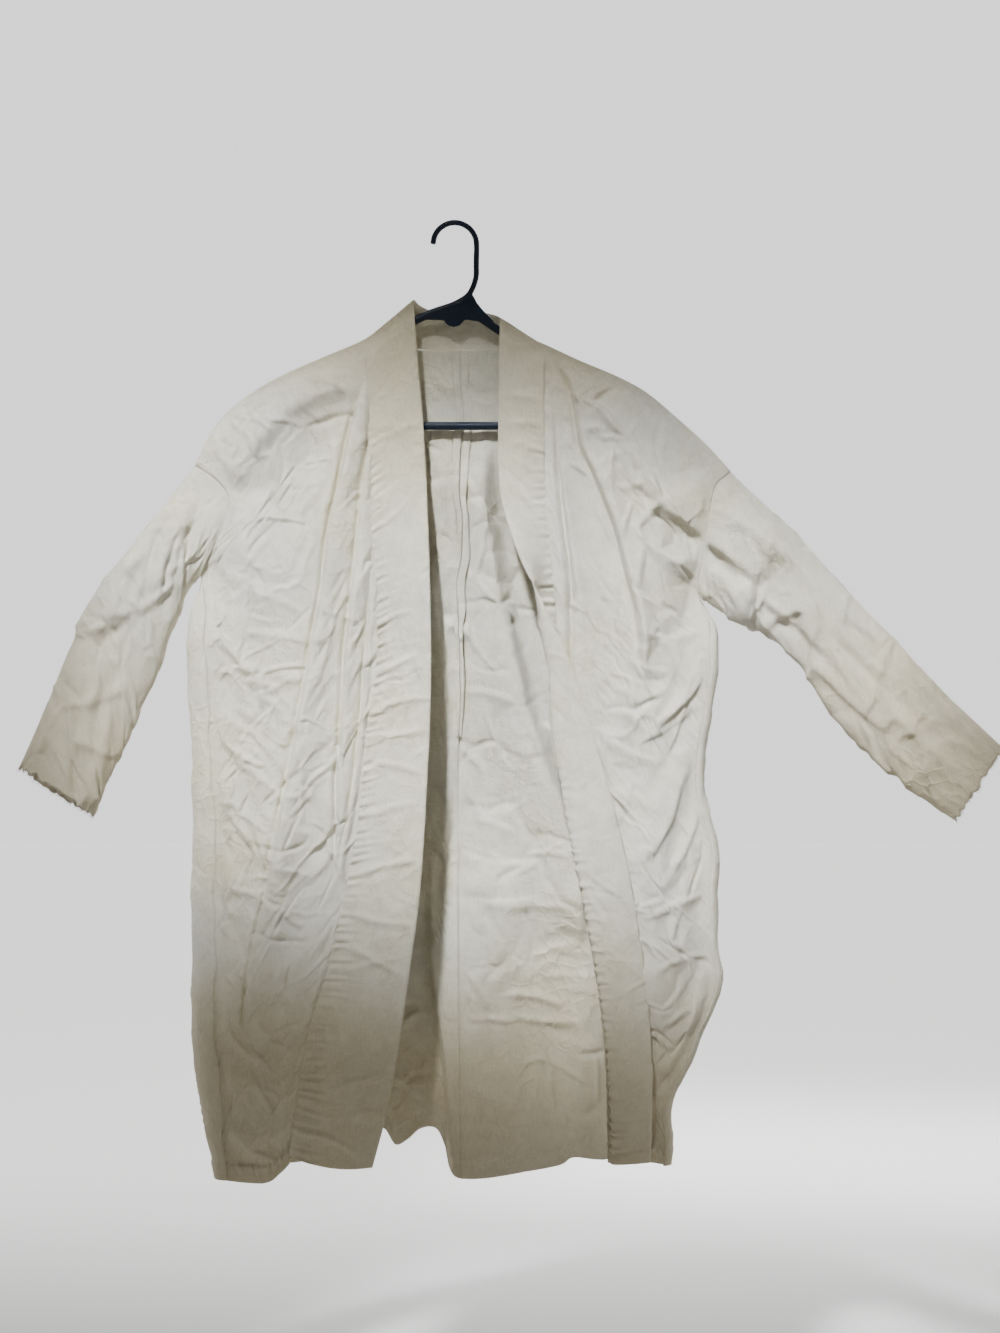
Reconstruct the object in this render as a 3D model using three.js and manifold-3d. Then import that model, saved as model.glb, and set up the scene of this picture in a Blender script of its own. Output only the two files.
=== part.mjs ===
// An open-front smock coat of plain woven cotton on a one-piece moulded hanger.
// Millimetres, +Z up, the front faces -Y. The origin is the inside top of the hook,
// where a rail carries it. "left" and "right" are as seen from the front.
// Each panel of cloth is a closed sheet; neighbours stay apart by a small seam gap.
import * as THREE from 'three';
import * as BufferGeometryUtils from 'three/addons/utils/BufferGeometryUtils.js';
import Module from 'manifold-3d';

const wasm = await Module();
wasm.setup();

// ---------------------------------------------------------------- driving dimensions
const CLOTH = 1.4;            // thickness of a single panel's sheet
const BAND_CLOTH = 2.6;       // the folded front band, two layers
const SEAM_GAP = 0.6;         // between two panels that are sewn together
const CENTRE_BACK = 5;        // x of the centre-back seam
const UNDERARM_Z = -408;
const HEM_Z = -1112;

const HOOK_ROD = 3.5;         // radius of the hook's rod
const FRAME_ROD = 5;          // radius of the arms and the bar
const HOOK_BEND = 25.5;       // radius of the hook's bend, to the rod's centre
const HOOK_CENTRE = HOOK_ROD - HOOK_BEND;   // so the inside top of the hook is at z = 0
const BAR_Z = -234.5;

const FRONT_AT_BAR = 13;      // how far cloth stands off the hanger's plane
const SIDE_SEAM_DEPTH = 30;   // the side seams lie this far in front of that plane
const BAND_STANDS_OFF = 0.8;  // the band's middle lies this far in front of the panel's
const FRONT_FULLNESS = 34;    // the extra depth of the fronts at the hem
const BACK_FULLNESS = 36;

// ------------------------------------------------------------------------- outlines
// Shoulder lines, from the neck to the top of the armhole: [x, z].
const SHOULDER = {
  left: [[-48, -89], [-105, -133], [-181, -166], [-222, -186], [-257, -211], [-298, -268]],
  right: [[53, -107], [105, -139], [193, -178], [225, -196], [262, -222], [303, -267]],
};
// The coat's outermost line below the underarm.
const SIDE = {
  left: [[-298, -408], [-304, -440], [-310, -572], [-303, -607], [-312, -740], [-316, -976], [-290, -1112]],
  right: [[298, -408], [300, -440], [300, -531], [284, -660], [301, -760], [306, -888], [272, -985], [252, -1112]],
};
// The side seam, where the back turns forward and meets the front. The fronts swing on it.
const SIDE_SEAM = {
  left: [[-277, -408], [-277, -880], [-264, -1112]],
  right: [[276, -408], [276, -860], [238, -1112]],
};
// The stitched edge of each front band, then its free edge: [x, z] from the top down.
const BAND_SEAM = {
  left: [[-105, -137], [-101, -240], [-97, -344], [-91, -470], [-91, -560], [-103, -660],
    [-128, -790], [-148, -905], [-166, -1005], [-186, -1084]],
  right: [[105, -142], [108, -240], [113, -344], [121, -460], [140, -545], [172, -640],
    [196, -740], [214, -840], [228, -950], [222, -1088]],
};
const BAND_EDGE = {
  left: [[-48, -89], [-36, -225], [-30, -340], [-27, -470], [-29, -560], [-32, -672],
    [-40, -790], [-52, -890], [-66, -985], [-92, -1096]],
  right: [[53, -109], [52, -228], [56, -340], [90, -430], [112, -520], [122, -630],
    [138, -725], [158, -825], [178, -940], [184, -1099]],
};
const BACK_HEM = [[-290, -1112], [-180, -1100], [-60, -1078], [0, -1116], [60, -1120], [140, -1104], [252, -1104]];
// Sleeve outlines: the upper and the lower edge, and the half depth, at each station.
const SLEEVE = {
  left: [
    { upper: [-299.5, -268], lower: [-291.5, -407], depth: 21 },
    { upper: [-345, -331], lower: [-322, -446], depth: 26 },
    { upper: [-390, -391], lower: [-341, -504], depth: 25 },
    { upper: [-446, -488], lower: [-364, -558], depth: 21 },
    { upper: [-482, -572], lower: [-394, -627], depth: 19 },
    { upper: [-509, -634], lower: [-427, -688], depth: 18 },
  ],
  right: [
    { upper: [304.5, -267], lower: [296.5, -407], depth: 21 },
    { upper: [364, -328], lower: [330, -452], depth: 27 },
    { upper: [420, -384], lower: [372, -488], depth: 25 },
    { upper: [486, -456], lower: [422, -545], depth: 21 },
    { upper: [560, -534], lower: [494, -626], depth: 19 },
    { upper: [644, -612], lower: [584, -694], depth: 18 },
  ],
};

// -------------------------------------------------------------------------- colours
const cotton = (shade) => new THREE.MeshStandardMaterial({ color: shade, roughness: 0.95, metalness: 0 });
const navyPlastic = new THREE.MeshStandardMaterial({ color: 0x10203c, roughness: 0.35, metalness: 0 });
const CREAM = 0xe6e2d3;
const BAND_CREAM = 0xeae6d8;

// -------------------------------------------------------------------------- helpers
const lerp = (a, b, t) => a + (b - a) * t;
const smooth = (t) => THREE.MathUtils.smoothstep(t, 0, 1);

// Height of a shoulder line or a hem at x, straight between its points.
function heightAt(line, x) {
  const points = [...line].sort((a, b) => a[0] - b[0]);
  if (x <= points[0][0]) return points[0][1];
  for (let i = 1; i < points.length; i += 1) {
    const [x0, z0] = points[i - 1];
    const [x1, z1] = points[i];
    if (x <= x1) return lerp(z0, z1, (x - x0) / (x1 - x0));
  }
  return points[points.length - 1][1];
}

// A smooth line through points [x, z], as close-set points of the same kind.
function smoothLine(points) {
  const curve = new THREE.CatmullRomCurve3(points.map(([x, z]) => new THREE.Vector3(x, 0, z)));
  return curve.getPoints(60).map((p) => [p.x, p.z]);
}

// The x of a line that runs down the coat, at height z.
function acrossAt(line, z) {
  if (z >= line[0][1]) return line[0][0];
  for (let i = 1; i < line.length; i += 1) {
    const [x0, z0] = line[i - 1];
    const [x1, z1] = line[i];
    if (z >= z1) return lerp(x0, x1, (z - z0) / (z1 - z0));
  }
  return line[line.length - 1][0];
}

// A closed solid from a grid of mid-surface points, thickened to both sides.
// With "ring" set, the first and the last column join and the sheet is an open-ended tube.
function sheet(grid, thickness, ring = false) {
  const rows = grid.length;
  const columns = grid[0].length;
  const wrap = (j) => (ring ? (j + columns) % columns : THREE.MathUtils.clamp(j, 0, columns - 1));
  const row = (i) => THREE.MathUtils.clamp(i, 0, rows - 1);
  const sides = [[], []];
  for (let i = 0; i < rows; i += 1) {
    for (let j = 0; j < columns; j += 1) {
      const across = grid[i][wrap(j + 1)].clone().sub(grid[i][wrap(j - 1)]);
      const down = grid[row(i + 1)][j].clone().sub(grid[row(i - 1)][j]);
      const normal = across.cross(down).normalize().multiplyScalar(thickness / 2);
      sides[0].push(grid[i][j].clone().add(normal));
      sides[1].push(grid[i][j].clone().sub(normal));
    }
  }
  const at = (side, i, j) => side * rows * columns + i * columns + wrap(j);
  const faces = [];
  const quad = (a, b, c, d) => faces.push(a, b, c, a, c, d);
  const lastColumn = ring ? columns : columns - 1;
  for (let i = 0; i < rows - 1; i += 1) {
    for (let j = 0; j < lastColumn; j += 1) {
      quad(at(0, i, j), at(0, i, j + 1), at(0, i + 1, j + 1), at(0, i + 1, j));
      quad(at(1, i, j), at(1, i + 1, j), at(1, i + 1, j + 1), at(1, i, j + 1));
    }
  }
  for (let j = 0; j < lastColumn; j += 1) {
    quad(at(1, 0, j), at(1, 0, j + 1), at(0, 0, j + 1), at(0, 0, j));
    quad(at(0, rows - 1, j), at(0, rows - 1, j + 1), at(1, rows - 1, j + 1), at(1, rows - 1, j));
  }
  if (!ring) {
    for (let i = 0; i < rows - 1; i += 1) {
      quad(at(0, i, 0), at(0, i + 1, 0), at(1, i + 1, 0), at(1, i, 0));
      quad(at(1, i, columns - 1), at(1, i + 1, columns - 1), at(0, i + 1, columns - 1), at(0, i, columns - 1));
    }
  }
  const geometry = new THREE.BufferGeometry();
  geometry.setAttribute('position', new THREE.Float32BufferAttribute(
    [...sides[0], ...sides[1]].flatMap((p) => [p.x, p.y, p.z]), 3));
  geometry.setIndex(facingOut(geometry, faces));
  geometry.computeVertexNormals();
  return geometry;
}

// Turns the faces round if the solid's signed volume is negative.
function facingOut(geometry, faces) {
  const position = geometry.getAttribute('position');
  const corner = (index) => new THREE.Vector3().fromBufferAttribute(position, index);
  let volume = 0;
  for (let i = 0; i < faces.length; i += 3) {
    volume += corner(faces[i]).dot(corner(faces[i + 1]).cross(corner(faces[i + 2])));
  }
  return volume > 0 ? faces : faces.reverse();
}

// Steps from 0 to 1: close together at the top of a panel, wide apart below.
const PANEL_ROWS = [0, 0.024, 0.055, 0.1, 0.145, 0.172, 0.2, 0.27, 0.35, 0.44, 0.53, 0.62, 0.71, 0.8, 0.9, 1];

// ----------------------------------------------------------- where the cloth hangs
const drop = (x, z) => heightAt(x < 0 ? SHOULDER.left : SHOULDER.right, x) - z;
const offHanger = (x, z) => lerp(2.2, FRONT_AT_BAR, smooth(drop(x, z) / 24));
const belowBar = (z) => smooth((BAR_Z - z) / 190);
const towardHem = (z) => smooth((BAR_Z - 60 - z) / 720);

// Depth of the fronts: at the side seam they stay at one depth, in the middle they stand full.
function frontDepth(x, z) {
  const side = x < 0 ? 'left' : 'right';
  const fromSeam = smooth(Math.abs(x - SIDE_SEAM[side][0][0]) / 110);
  const seam = lerp(offHanger(x, z), SIDE_SEAM_DEPTH, belowBar(z));
  const wave = 5 * Math.sin(x / 19) * towardHem(z);
  return -(seam + fromSeam * (FRONT_FULLNESS * towardHem(z) + wave));
}

function backDepth(x, z) {
  const wave = 7 * Math.sin(x / 26 + 0.6) * towardHem(z);
  return lerp(offHanger(x, z), 24, belowBar(z)) + BACK_FULLNESS * towardHem(z) + wave;
}

// --------------------------------------------------------------------------- hanger
const circle = (radius) => new THREE.Shape(new THREE.Path().absarc(0, 0, radius, 0, 2 * Math.PI).getPoints(3));

// A rod along a smooth curve through points [x, z] in the hanger's plane.
function rod(points, radius, steps) {
  const path = new THREE.CatmullRomCurve3(points.map(([x, z]) => new THREE.Vector3(x, 0, z)), false, 'centripetal');
  return new THREE.ExtrudeGeometry(circle(radius), { steps, extrudePath: path, bevelEnabled: false });
}

function toSolid(geometry) {
  const bare = geometry.index ? geometry.toNonIndexed() : geometry.clone();
  bare.deleteAttribute('normal');
  bare.deleteAttribute('uv');
  const merged = BufferGeometryUtils.mergeVertices(bare, 1e-4);
  return new wasm.Manifold(new wasm.Mesh({
    numProp: 3,
    vertProperties: Float32Array.from(merged.getAttribute('position').array),
    triVerts: Uint32Array.from(merged.index.array),
  }));
}

function toGeometry(solid) {
  const mesh = solid.getMesh();
  const geometry = new THREE.BufferGeometry();
  geometry.setAttribute('position', new THREE.BufferAttribute(mesh.vertProperties, 3));
  geometry.setIndex(new THREE.BufferAttribute(mesh.triVerts, 1));
  geometry.computeVertexNormals();
  return geometry;
}

// The flat web that joins the two arms under the stem, with a rounded boss below it.
function web() {
  const outline = new THREE.Shape();
  outline.moveTo(-44, -104);
  outline.quadraticCurveTo(-12, -92, 12, -84);
  outline.lineTo(24, -84);
  outline.quadraticCurveTo(26, -92, 34, -100);
  outline.lineTo(44, -112);
  outline.lineTo(36, -112);
  outline.lineTo(9, -108);
  outline.absarc(-1, -110, 8, 0, -Math.PI, true);
  outline.lineTo(-40, -110);
  const plate = new THREE.ExtrudeGeometry(outline, { depth: 6, bevelEnabled: false, curveSegments: 6 });
  plate.rotateX(Math.PI / 2);
  plate.translate(0, 3, 0);
  return plate;
}

function hanger() {
  const hookArc = [];
  for (let degrees = 180; degrees >= 0; degrees -= 22.5) {
    const angle = THREE.MathUtils.degToRad(degrees);
    hookArc.push([HOOK_BEND * Math.cos(angle), HOOK_CENTRE + HOOK_BEND * Math.sin(angle)]);
  }
  const hook = rod([...hookArc, [25, -44], [24.6, -64], [18, -80], [4, -90], [-14, -97]], HOOK_ROD, 34);
  const leftArm = [[8, -92], [-44, -110], [-105, -149], [-168, -179], [-190, -190]];
  const rightArm = [[8, -92], [46, -119], [105, -157], [172, -188], [194, -199]];
  const leftEnd = [[-204, -204], [-207, -221], [-194, -233], [-176, BAR_Z]];
  const rightEnd = [[207, -211], [209, -225], [197, -233], [180, BAR_Z]];
  const frameRods = [
    rod([...leftArm, ...leftEnd], FRAME_ROD, 26),
    rod([...rightArm, ...rightEnd], FRAME_ROD, 26),
    rod([[-180, BAR_Z], [184, BAR_Z]], FRAME_ROD, 1),
  ];
  const solid = [...frameRods, web()].map(toSolid).reduce((a, b) => a.add(b), toSolid(hook));
  return toGeometry(solid);
}

// --------------------------------------------------------------------------- panels
// Half of the back: from the centre-back seam to the side seam, turned forward at the side.
function backPanel(side) {
  const sign = side === 'left' ? -1 : 1;
  const columns = 14;
  const flatShare = 0.72;
  const armholeX = (z) => acrossAt([SHOULDER[side][5], [sign * 290, UNDERARM_Z]], z);
  const grid = PANEL_ROWS.map((v) => Array.from({ length: columns + 1 }, (_, j) => {
    const u = j / columns;
    const centre = CENTRE_BACK + sign * SEAM_GAP;
    const outerTop = armholeX(SHOULDER[side][5][1]);
    const topX = lerp(centre, outerTop, u);
    const neckZ = -147;
    const topZ = Math.min(neckZ, heightAt(SHOULDER[side], topX) - 0.5);
    const z = lerp(topZ, heightAt(BACK_HEM, lerp(centre, SIDE[side].at(-1)[0], u)), v);
    if (z > UNDERARM_Z) {
      const x = lerp(centre, armholeX(z), u);
      return new THREE.Vector3(x, backDepth(x, z), z);
    }
    const turned = smooth((UNDERARM_Z - z) / 30);
    const outer = acrossAt(SIDE[side], z);
    const turnX = outer - sign * 24;
    if (u <= flatShare) {
      const x = lerp(centre, lerp(armholeX(z), turnX, turned), u / lerp(1, flatShare, turned));
      return new THREE.Vector3(x, backDepth(x, z), z);
    }
    const back = backDepth(turnX, z);
    const round = (u - flatShare) / (1 - flatShare);
    const seamX = acrossAt(SIDE_SEAM[side], z) + sign * (SEAM_GAP + CLOTH);
    const angle = Math.PI * round;
    const bend = lerp(turnX, seamX, smooth(round));
    const turnedX = bend + (outer - turnX) * Math.sin(angle);
    const turnedY = lerp(back, -SIDE_SEAM_DEPTH, (1 - Math.cos(angle)) / 2);
    const flatX = lerp(centre, armholeX(z), u);
    return new THREE.Vector3(lerp(flatX, turnedX, turned), lerp(backDepth(flatX, z), turnedY, turned), z);
  }));
  return sheet(grid, CLOTH);
}

// A front panel, from the side seam and armhole to the band's stitched edge.
function frontPanel(side) {
  const sign = side === 'left' ? -1 : 1;
  const columns = 8;
  const top = SHOULDER[side][5];
  const outerLine = [top, ...SIDE_SEAM[side].map(([x, z]) => [x - sign * SEAM_GAP, z])];
  const innerLine = smoothLine(BAND_SEAM[side]);
  const bandGap = -sign * (SEAM_GAP + 0.6);
  const grid = PANEL_ROWS.map((v) => Array.from({ length: columns + 1 }, (_, j) => {
    const u = j / columns;
    const innerTop = BAND_SEAM[side][0];
    const topX = lerp(top[0], innerTop[0] - bandGap, u);
    const topZ = heightAt(SHOULDER[side], topX) - 0.5;
    const hemZ = lerp(HEM_Z, BAND_SEAM[side].at(-1)[1], u);
    const z = lerp(topZ, hemZ, v);
    const x = lerp(acrossAt(outerLine, z), acrossAt(innerLine, z) - bandGap, u);
    return new THREE.Vector3(x, frontDepth(x, z), z);
  }));
  return sheet(grid, CLOTH);
}

// The front band: from its stitched edge to its folded free edge.
function frontBand(side) {
  const columns = 3;
  const rows = 20;
  const seam = new THREE.CatmullRomCurve3(BAND_SEAM[side].map(([x, z]) => new THREE.Vector3(x, 0, z)));
  const edge = new THREE.CatmullRomCurve3(BAND_EDGE[side].map(([x, z]) => new THREE.Vector3(x, 0, z)));
  const grid = Array.from({ length: rows + 1 }, (_, i) => Array.from({ length: columns + 1 }, (__, j) => {
    const v = (i / rows) ** 1.5;
    const point = seam.getPoint(v).lerp(edge.getPoint(v), j / columns);
    point.y = frontDepth(point.x, point.z) - BAND_STANDS_OFF;
    return point;
  }));
  return sheet(grid, BAND_CLOTH);
}

// The band's stretch round the back of the neck, standing up from the neck seam.
function neckBand() {
  const seam = new THREE.CatmullRomCurve3([
    new THREE.Vector3(-104, 2, -134), new THREE.Vector3(-62, 13, -142), new THREE.Vector3(3, 15, -145),
    new THREE.Vector3(68, 13, -145), new THREE.Vector3(104, 2, -140)]);
  const fold = new THREE.CatmullRomCurve3([
    new THREE.Vector3(-50, 2, -89), new THREE.Vector3(-30, 13, -104), new THREE.Vector3(3, 19, -107),
    new THREE.Vector3(36, 14, -110), new THREE.Vector3(55, 2, -111)]);
  const grid = Array.from({ length: 15 }, (_, i) => Array.from({ length: 4 }, (__, j) => (
    seam.getPoint(i / 14).lerp(fold.getPoint(i / 14), j / 3))));
  return sheet(grid, BAND_CLOTH);
}

// A sleeve: an open tube of flattened sections between its upper and lower edges.
function sleeve(side) {
  const around = 16;
  const stations = SLEEVE[side];
  const upper = new THREE.CatmullRomCurve3(stations.map((s) => new THREE.Vector3(s.upper[0], 0, s.upper[1])));
  const lower = new THREE.CatmullRomCurve3(stations.map((s) => new THREE.Vector3(s.lower[0], 0, s.lower[1])));
  const steps = 12;
  const grid = Array.from({ length: steps + 1 }, (_, i) => {
    const t = i / steps;
    const a = upper.getPoint(t);
    const b = lower.getPoint(t);
    const place = t * (stations.length - 1);
    const index = Math.min(Math.floor(place), stations.length - 2);
    const depth = lerp(stations[index].depth, stations[index + 1].depth, place - index);
    return Array.from({ length: around }, (__, j) => {
      const angle = (2 * Math.PI * j) / around;
      const point = a.clone().lerp(b, (1 - Math.cos(angle)) / 2);
      point.y = depth * Math.sin(angle);
      return point;
    });
  });
  return sheet(grid, CLOTH, true);
}

// ------------------------------------------------------------------------- assembly
const smock = new THREE.Group();

function add(name, geometry, material) {
  const mesh = new THREE.Mesh(geometry, material);
  mesh.name = name;
  smock.add(mesh);
}

add('hanger', hanger(), navyPlastic);
for (const side of ['left', 'right']) {
  add(`back_${side}`, backPanel(side), cotton(CREAM));
  add(`front_${side}`, frontPanel(side), cotton(CREAM));
  add(`front_band_${side}`, frontBand(side), cotton(BAND_CREAM));
  add(`sleeve_${side}`, sleeve(side), cotton(CREAM));
}
add('neck_band', neckBand(), cotton(BAND_CREAM));

export default smock;
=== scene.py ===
# %% [markdown]
# # An open-front cotton smock coat on its hanger
#
# This lesson dresses a packed mechanical frame with cloth. The frame already says where every panel is
# and which body it moves with, so each step here makes the look of one real piece: the moulded hanger,
# the panels of washed cotton, the doubled front band with its puckered topstitching, and the frayed cuffs.
#
# Lengths of the cloth are written in millimetres, because that is how a pattern cutter writes them, and
# every mesh is made in metres, because that is what the frame uses.

# %% Load the frame
import math

import bmesh
import bpy
import numpy as np
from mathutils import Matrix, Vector


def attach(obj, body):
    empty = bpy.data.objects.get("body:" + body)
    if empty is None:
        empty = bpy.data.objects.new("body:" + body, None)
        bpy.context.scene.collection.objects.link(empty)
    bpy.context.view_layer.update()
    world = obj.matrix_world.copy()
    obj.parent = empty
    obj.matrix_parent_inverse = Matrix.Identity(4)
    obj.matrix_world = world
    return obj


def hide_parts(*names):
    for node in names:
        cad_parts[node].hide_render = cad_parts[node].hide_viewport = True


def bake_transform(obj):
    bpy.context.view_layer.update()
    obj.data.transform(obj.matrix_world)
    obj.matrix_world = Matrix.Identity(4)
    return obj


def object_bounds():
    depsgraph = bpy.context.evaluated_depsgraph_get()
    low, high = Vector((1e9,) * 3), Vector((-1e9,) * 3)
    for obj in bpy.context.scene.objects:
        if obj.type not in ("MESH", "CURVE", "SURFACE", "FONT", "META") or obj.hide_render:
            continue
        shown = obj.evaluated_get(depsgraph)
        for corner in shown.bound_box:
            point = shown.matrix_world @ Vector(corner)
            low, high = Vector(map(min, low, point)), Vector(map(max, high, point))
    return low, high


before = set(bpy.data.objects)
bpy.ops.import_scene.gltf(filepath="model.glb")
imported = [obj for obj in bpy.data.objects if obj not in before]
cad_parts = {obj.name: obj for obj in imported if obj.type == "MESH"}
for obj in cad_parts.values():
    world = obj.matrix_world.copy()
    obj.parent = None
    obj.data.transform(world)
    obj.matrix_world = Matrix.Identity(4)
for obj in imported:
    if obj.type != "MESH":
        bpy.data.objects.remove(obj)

cad_low, cad_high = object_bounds()
MM = 0.001
print("frame box, metres:", [round(v, 3) for v in cad_low], [round(v, 3) for v in cad_high])

# %% [markdown]
# ## Camera
#
# The coat is seen square from the front, from about three metres away, with a long lens, so that it is
# almost free of perspective. The camera comes first: everything after it is judged through it.

# %% Camera
CAMERA_DISTANCE = 3.0
VIEW_HEIGHT = 1.56
camera_data = bpy.data.cameras.new("camera")
camera = bpy.data.objects.new("camera", camera_data)
camera.location = (0.053, -CAMERA_DISTANCE, -0.516)
camera.rotation_euler = (math.pi / 2, 0, 0)
camera_data.lens = camera_data.sensor_width * CAMERA_DISTANCE / VIEW_HEIGHT
bpy.context.collection.objects.link(camera)
bpy.context.scene.camera = camera
print("lens, mm:", round(camera_data.lens, 1))

# %% [markdown]
# ## Floor and light
#
# Creases in pale cloth only show where light rakes across them. So window light comes from high on the
# left and falls on the chest, leaving the shoulder line and the hem dimmer. A second pane above it lights
# the coat when it is lifted off its hanger. A weak lamp fills from the right, another lights the coat from
# behind, and a pale world keeps the shadows open.

# %% Floor and light
def area_light(name, place, aim, size, power, colour=(1, 1, 1)):
    """A square soft light at a place, turned to a point."""
    data = bpy.data.lights.new(name, "AREA")
    data.size = size
    data.energy = power
    data.color = colour
    light = bpy.data.objects.new(name, data)
    light.location = place
    light.rotation_euler = (Vector(aim) - Vector(place)).to_track_quat("-Z", "Y").to_euler()
    bpy.context.collection.objects.link(light)
    return light


middle = (cad_low + cad_high) / 2
area_light("fill", (2.6, -2.3, 0.3), middle, 2.0, 2, (1.0, 0.93, 0.82))
area_light("back_light", (0.9, 2.6, 1.4), middle, 1.6, 40)

DAYLIGHT = (0.97, 0.985, 1.0)
WINDOW_X, WINDOW_Y = -0.58, -2.42
for name, height, aim_height, wide, tall, power, spread in (
    ("window", 1.76, -0.52, 0.98, 0.47, 3.1, 5.5),
    ("upper_window", 3.08, 0.80, 1.25, 0.86, 7.0, 7),
):
    pane = area_light(name, (WINDOW_X, WINDOW_Y, height), (0.06, -0.04, aim_height), wide, power, DAYLIGHT)
    pane.data.shape = "RECTANGLE"
    pane.data.size_y = tall
    pane.data.spread = math.radians(spread)

world = bpy.data.worlds.new("studio")
world.use_nodes = True
sky = world.node_tree
toward = sky.nodes.new("ShaderNodeTexCoord")
split = sky.nodes.new("ShaderNodeSeparateXYZ")
sky.links.new(toward.outputs["Generated"], split.inputs["Vector"])
side_of_room = sky.nodes.new("ShaderNodeMapRange")
side_of_room.interpolation_type = "SMOOTHSTEP"
side_of_room.inputs["From Min"].default_value = -0.2
side_of_room.inputs["From Max"].default_value = 0.8
sky.links.new(split.outputs["Y"], side_of_room.inputs["Value"])
room = sky.nodes.new("ShaderNodeMix")
room.data_type = "RGBA"
room.inputs[6].default_value = (0.20, 0.193, 0.18, 1)
room.inputs[7].default_value = (1.45, 1.45, 1.45, 1)
sky.links.new(side_of_room.outputs["Result"], room.inputs["Factor"])
sky.links.new(room.outputs[2], sky.nodes["Background"].inputs["Color"])
bpy.context.scene.world = world

FLOOR_DROP = 0.42
bpy.ops.mesh.primitive_plane_add(size=24, location=(0, 0, cad_low.z - FLOOR_DROP))
floor = bpy.context.object
floor.name = "floor"
floor_paint = bpy.data.materials.new("pale_floor")
floor_paint.use_nodes = True
floor_shader = floor_paint.node_tree.nodes["Principled BSDF"]
floor_shader.inputs["Base Color"].default_value = (0.58, 0.575, 0.56, 1)
floor_shader.inputs["Roughness"].default_value = 0.9
floor_shader.inputs["Emission Color"].default_value = (1, 1, 1, 1)
floor_tree = floor_paint.node_tree
floor_place = floor_tree.nodes.new("ShaderNodeTexCoord")
floor_split = floor_tree.nodes.new("ShaderNodeSeparateXYZ")
floor_tree.links.new(floor_place.outputs["Object"], floor_split.inputs["Vector"])
floor_glow = floor_tree.nodes.new("ShaderNodeMapRange")
floor_glow.interpolation_type = "SMOOTHSTEP"
floor_glow.inputs["From Min"].default_value = 0.2
floor_glow.inputs["From Max"].default_value = 2.4
floor_glow.inputs["To Max"].default_value = 1.12
floor_tree.links.new(floor_split.outputs["Y"], floor_glow.inputs["Value"])
floor_tree.links.new(floor_glow.outputs["Result"], floor_shader.inputs["Emission Strength"])
floor.data.materials.append(floor_paint)

# %% [markdown]
# ## Small tools for lines and noise
#
# A seam on the coat is a smooth line through a few points. Folds follow such lines too. Creases need
# randomness that is the same at every run, so the noise is made here from a seeded table of numbers.

# %% Lines
def smooth_line(points, count=240):
    """Close-set points on a smooth curve through a few given ones."""
    p = np.array(points, float)
    p = np.vstack([2 * p[0] - p[1], p, 2 * p[-1] - p[-2]])
    spans = len(p) - 3
    t = np.linspace(0, spans - 1e-9, count)
    i = t.astype(int)
    f = (t - i)[:, None]
    a, b, c, d = p[i], p[i + 1], p[i + 2], p[i + 3]
    return 0.5 * (2 * b + (c - a) * f + (2 * a - 5 * b + 4 * c - d) * f**2 + (3 * b - a - 3 * c + d) * f**3)


def along(points, count):
    """Points at even distances along a smooth line."""
    line = smooth_line(points)
    steps = np.r_[0, np.cumsum(np.linalg.norm(np.diff(line, axis=0), axis=1))]
    at = np.linspace(0, steps[-1], count)
    return np.stack([np.interp(at, steps, line[:, k]) for k in range(line.shape[1])], 1)


def wobble(z, seed):
    """Sewn lines are never quite straight: a small wander in millimetres."""
    return 1.5 * np.sin(z / 23.0 + seed) + 0.8 * np.sin(z / 9.1 + 2 * seed)


def x_at(points, z):
    """Where a line that runs down the coat is, at height z."""
    line = smooth_line(points)
    return np.interp(-z, -line[:, 1], line[:, 0])


def z_at(points, x):
    """How high a line that runs across the coat is, at x."""
    line = smooth_line(points)
    order = np.argsort(line[:, 0])
    return np.interp(x, line[order, 0], line[order, 1])


def ease(low, high, value):
    """0 below low, 1 above high, smooth between."""
    t = np.clip((value - low) / (high - low), 0, 1)
    return t * t * (3 - 2 * t)


def mix(a, b, t):
    return a + (b - a) * t


# %% Noise
def scatter(i, j, seed):
    """A number from -1 to 1 for each square of a grid, always the same for the same seed."""
    n = (i.astype(np.int64) * 374761393 + j.astype(np.int64) * 668265263 + seed * 2147483629) & 0xFFFFFFFF
    n = ((n ^ (n >> 13)) * 1274126177) & 0xFFFFFFFF
    n = ((n ^ (n >> 16)) * 2246822519) & 0xFFFFFFFF
    return ((n ^ (n >> 15)) & 0xFFFFFF) / 0x7FFFFF - 1.0


def swell(u, v, scale, seed):
    """Smooth hills and hollows from -1 to 1, about one scale across."""
    u, v = u / scale, v / scale
    i, j = np.floor(u), np.floor(v)
    fu, fv = u - i, v - j
    total = 0
    for di in (0, 1):
        for dj in (0, 1):
            turn = scatter(i + di, j + dj, seed) * math.pi
            slope = np.cos(turn) * (fu - di) + np.sin(turn) * (fv - dj)
            wu = 1 - np.abs(fu - di)
            wv = 1 - np.abs(fv - dj)
            total = total + slope * wu**2 * (3 - 2 * wu) * wv**2 * (3 - 2 * wv)
    return total * 1.6


def sharp_lines(u, v, scale, seed):
    """0 on flat ground, rising to 1 on a net of thin crooked lines."""
    n = swell(u, v, scale, seed)
    return np.clip(1 - np.abs(n) * 3.2, 0, 1) ** 2


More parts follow.
